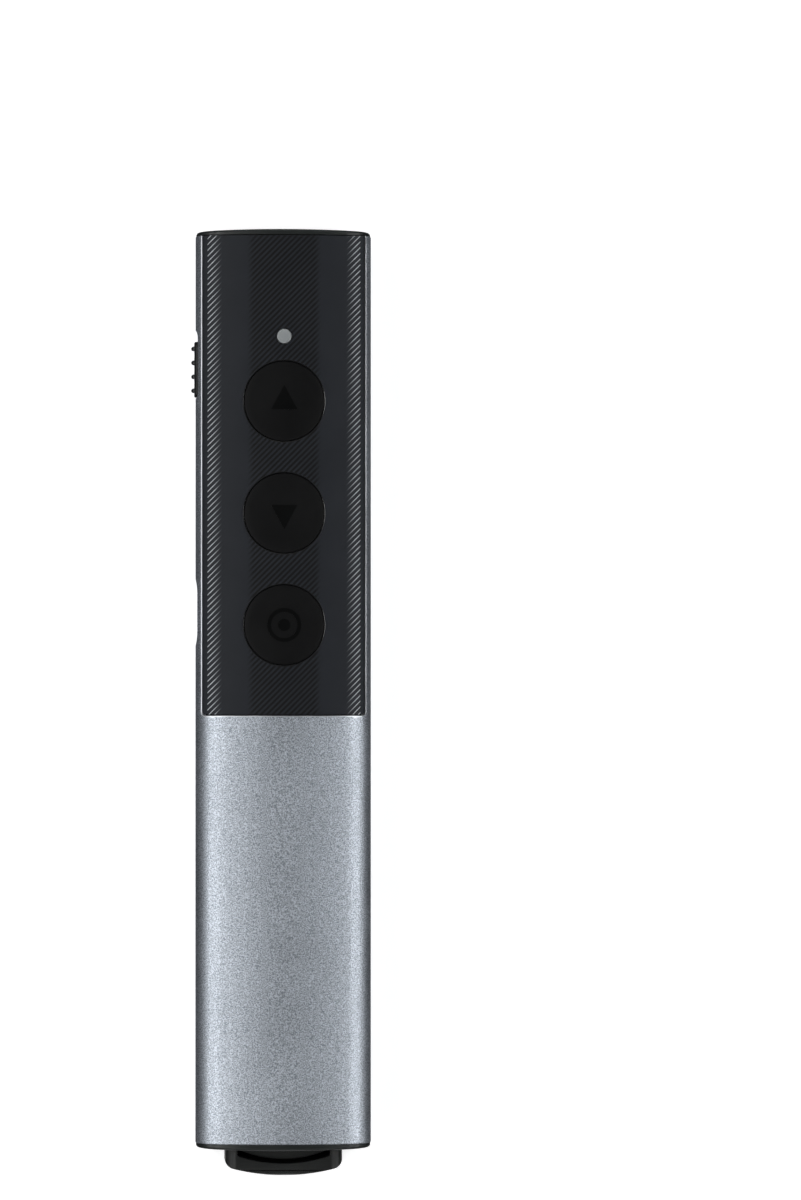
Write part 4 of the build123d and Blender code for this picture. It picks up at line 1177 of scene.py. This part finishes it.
bottom_cap = domed_plate("bottom_cap_satin", bottom_apex, -sleeve_end)
weld(bottom_cap, prism("plug", bottom_plug_inset, -sleeve_end - 0.15, bottom_plug_end))
cut(bottom_cap, grip_block("bay_mouth", bay_gap, bottom_apex - 1, bottom_plug_end + 1))
for side in (-1, 1):
    place = (side * screw_x, core_height)
    cut(bottom_cap, rod("screw_hole", screw_hole_radius, place,
                        bottom_apex - 1, bottom_plug_end + 1, axis="Y", steps=32))
    cut(bottom_cap, rod("screw_recess", screw_head_radius, place,
                        bottom_apex - 1, screw_head_seat, axis="Y", steps=48))
round_edges(bottom_cap, bay_edge_radius, 2, lambda middle, edge: edge.calc_face_angle() > 0.9
            and middle.y < bottom_apex + 0.25 and abs(middle.x) < grip_half + bay_gap + 0.01)
fit_to_clicker(bottom_cap, "cap_black", "root", "bottom_cap")

# %% [markdown]
# ## The receiver's grip
#
# What stands out of the lower end is the grip of the USB receiver: a flat bar with an arched outer edge and a
# finger pocket on its front and back, so that a nail can pull it out. Beside the arched bar a deeper crescent
# groove is cut, and a rounded tongue lies between it and the cap. The bar and the pockets are cut from a
# rounded block by arcs, and all outer edges are softened.

# %% Arched grip with its pockets
loop_outer_radius, loop_inner_radius, loop_tongue_radius = 30.0, 21.0, 16.4
loop_bar, loop_side, loop_corner, loop_web = 1.75, 1.86, 1.6, 1.2
pocket_depth, pocket_start, loop_edge_radius = 1.3, 0.4, 0.6
tongue_reach, pocket_corner, grip_rim_radius = 1.4, 0.4, 0.16
shell_seat_half_width, shell_seat_half_height, shell_seat_start = 6, 2.25, -65.54


def arched_bar(name, half, low_y, high_y, radius, z_low, z_high, corner):
    """An upright bar, straight at the sides and above, whose lower end is an arc with rounded corners."""
    piece = start_drawing(name, 0, low_y, z_low)
    arc_angle = asin((half - corner) / (radius - corner))
    corner_y = low_y + radius - (radius - corner) * cos(arc_angle)
    turn((0, low_y + radius), arc_angle, 28, about="Z")
    turn((half - corner, corner_y), pi / 2 - arc_angle, 10, about="Z")
    pull(y=high_y - corner_y)
    pull(x=-half)
    bpy.ops.object.mode_set(mode="OBJECT")
    use_modifier(piece, "MIRROR", use_clip=True, merge_threshold=0.001 * MM)
    open_whole(piece)
    bpy.ops.mesh.edge_face_add()
    pull(z=z_high - z_low)
    return close_piece(piece)


grip = grip_block("receiver_grip_satin", 0.0, grip_outer - 1, grip_inner)
paint(grip, "grip_black", "recess_shade_black")
keep_inside(grip, arched_bar("outline", grip_half + 0.02, grip_outer, grip_inner + 1, loop_outer_radius,
                             grip_bottom - 1, grip_top + 1, loop_corner))
profile = block("profile", (-grip_half - 1, grip_half + 1), (grip_outer, grip_inner + 1),
                (grip_bottom + skim, grip_top - skim))
round_edges(profile, loop_edge_radius, 6, lambda middle, edge: abs(middle.y - grip_outer) < 0.01
            and abs(middle.x) < 0.01)
keep_inside(grip, profile)
pocket_half = grip_half - loop_side
pocket_low, pocket_high = grip_outer + loop_bar, bottom_apex + pocket_start
tongue_centre = bottom_apex - tongue_reach + loop_tongue_radius


def pocket_bar(name, low, high):
    """An upright bar with the outline of the finger pocket."""
    return arched_bar(name, pocket_half, pocket_low, pocket_high, loop_inner_radius, low, high, pocket_corner)


for low, high in ((grip_bottom - 1, grip_bottom + pocket_depth), (grip_top - pocket_depth, grip_top + 1)):
    cut(grip, pocket_bar("pocket", low, high))
for low, high in ((grip_bottom - 1, core_height - loop_web / 2), (core_height + loop_web / 2, grip_top + 1)):
    crescent = pocket_bar("crescent", low, high)
    cut(crescent, rod("tongue", loop_tongue_radius, (0, tongue_centre), low - 1, high + 1, steps=360))
    # The crescent's floors take the near black recess finish, which is painted shade for the shadow of the
    # arched bar.
    paint(crescent, "grip_black", "recess_shade_black")
    for face in crescent.data.polygons:
        face.material_index = 1 if abs(face.normal.z) > 0.9 else 0
    cut(grip, crescent)
cut(grip, block("shell_seat", (-shell_seat_half_width, shell_seat_half_width),
                (shell_seat_start, grip_inner + 1),
                (core_height - shell_seat_half_height, core_height + shell_seat_half_height)))
round_edges(grip, grip_rim_radius, 2, lambda middle, edge: edge.calc_face_angle() > 0.9
            and middle.y < bottom_apex and abs(middle.x) < pocket_half + 0.01
            and (middle.z > grip_top - 1.5 or middle.z < grip_bottom + 1.5))
fit_to_clicker(grip, "grip_black", "receiver", "receiver_grip", smooth=32)

# %% [markdown]
# ## The power slider
#
# A small black thumb piece slides in its slot in the left flank. Its face follows the flank's bulge and four
# ribs across it give the thumb some hold. The piece is a rounded block kept inside a slightly larger body
# section, and each rib is a thin bar whose crest is rounded.

# %% Slider and its ribs
slider_stand, rib_height, rib_width, rib_pitch, rib_count = 0.2, 0.45, 0.62, 2.07, 4
slider_edge_radius, rib_edge_radius, rib_margin = 0.15, 0.28, 0.35
flange_half, flange_overlap = 2.35, 0.05
notch_start, notch_half, notch_low, notch_high = -11.7, 0.75, 6.75, 7.65
slider_inner = slider_low.x / MM + 2.55
slider_middle = (slider_inner - half_width - 1) / 2
slider = block("power_slider_ribbed", (-half_width - 1, slider_inner),
               (slider_rest - slider_length / 2, slider_rest + slider_length / 2),
               (core_height - slider_height / 2, core_height + slider_height / 2))
round_edges(slider, slider_corner - slider_gap, 6, lambda middle, edge: abs(middle.x - slider_middle) < 0.1)
keep_inside(slider, prism("face", -slider_stand, slider_rest - 6, slider_rest + 6))
round_edges(slider, slider_edge_radius, 3, lambda middle, edge: edge.calc_face_angle() > 0.7
            and middle.x < -half_width + 0.5)
for number in range(rib_count):
    y = slider_rest + (number - (rib_count - 1) / 2) * rib_pitch
    rib = block("rib", (-half_width - 2, -half_width + 0.5), (y - rib_width / 2, y + rib_width / 2),
                (core_height - slider_height / 2 + rib_margin,
                 core_height + slider_height / 2 - rib_margin))
    keep_inside(rib, prism("crest", -slider_stand - rib_height, y - 2, y + 2))
    round_edges(rib, rib_edge_radius, 4, lambda middle, edge: edge.calc_face_angle() > 0.7
                and middle.x < -half_width - 0.3)
    weld(slider, rib)
weld(slider, block("flange", (slider_inner - flange_overlap, slider_high.x / MM),
                   (slider_low.y / MM, slider_high.y / MM),
                   (core_height - flange_half, core_height + flange_half)))
cut(slider, block("lever_notch", (notch_start, slider_high.x / MM + 1),
                  (slider_rest - notch_half, slider_rest + notch_half), (notch_low, notch_high)))
fit_to_clicker(slider, "slider_black", "slider", "power_slider")
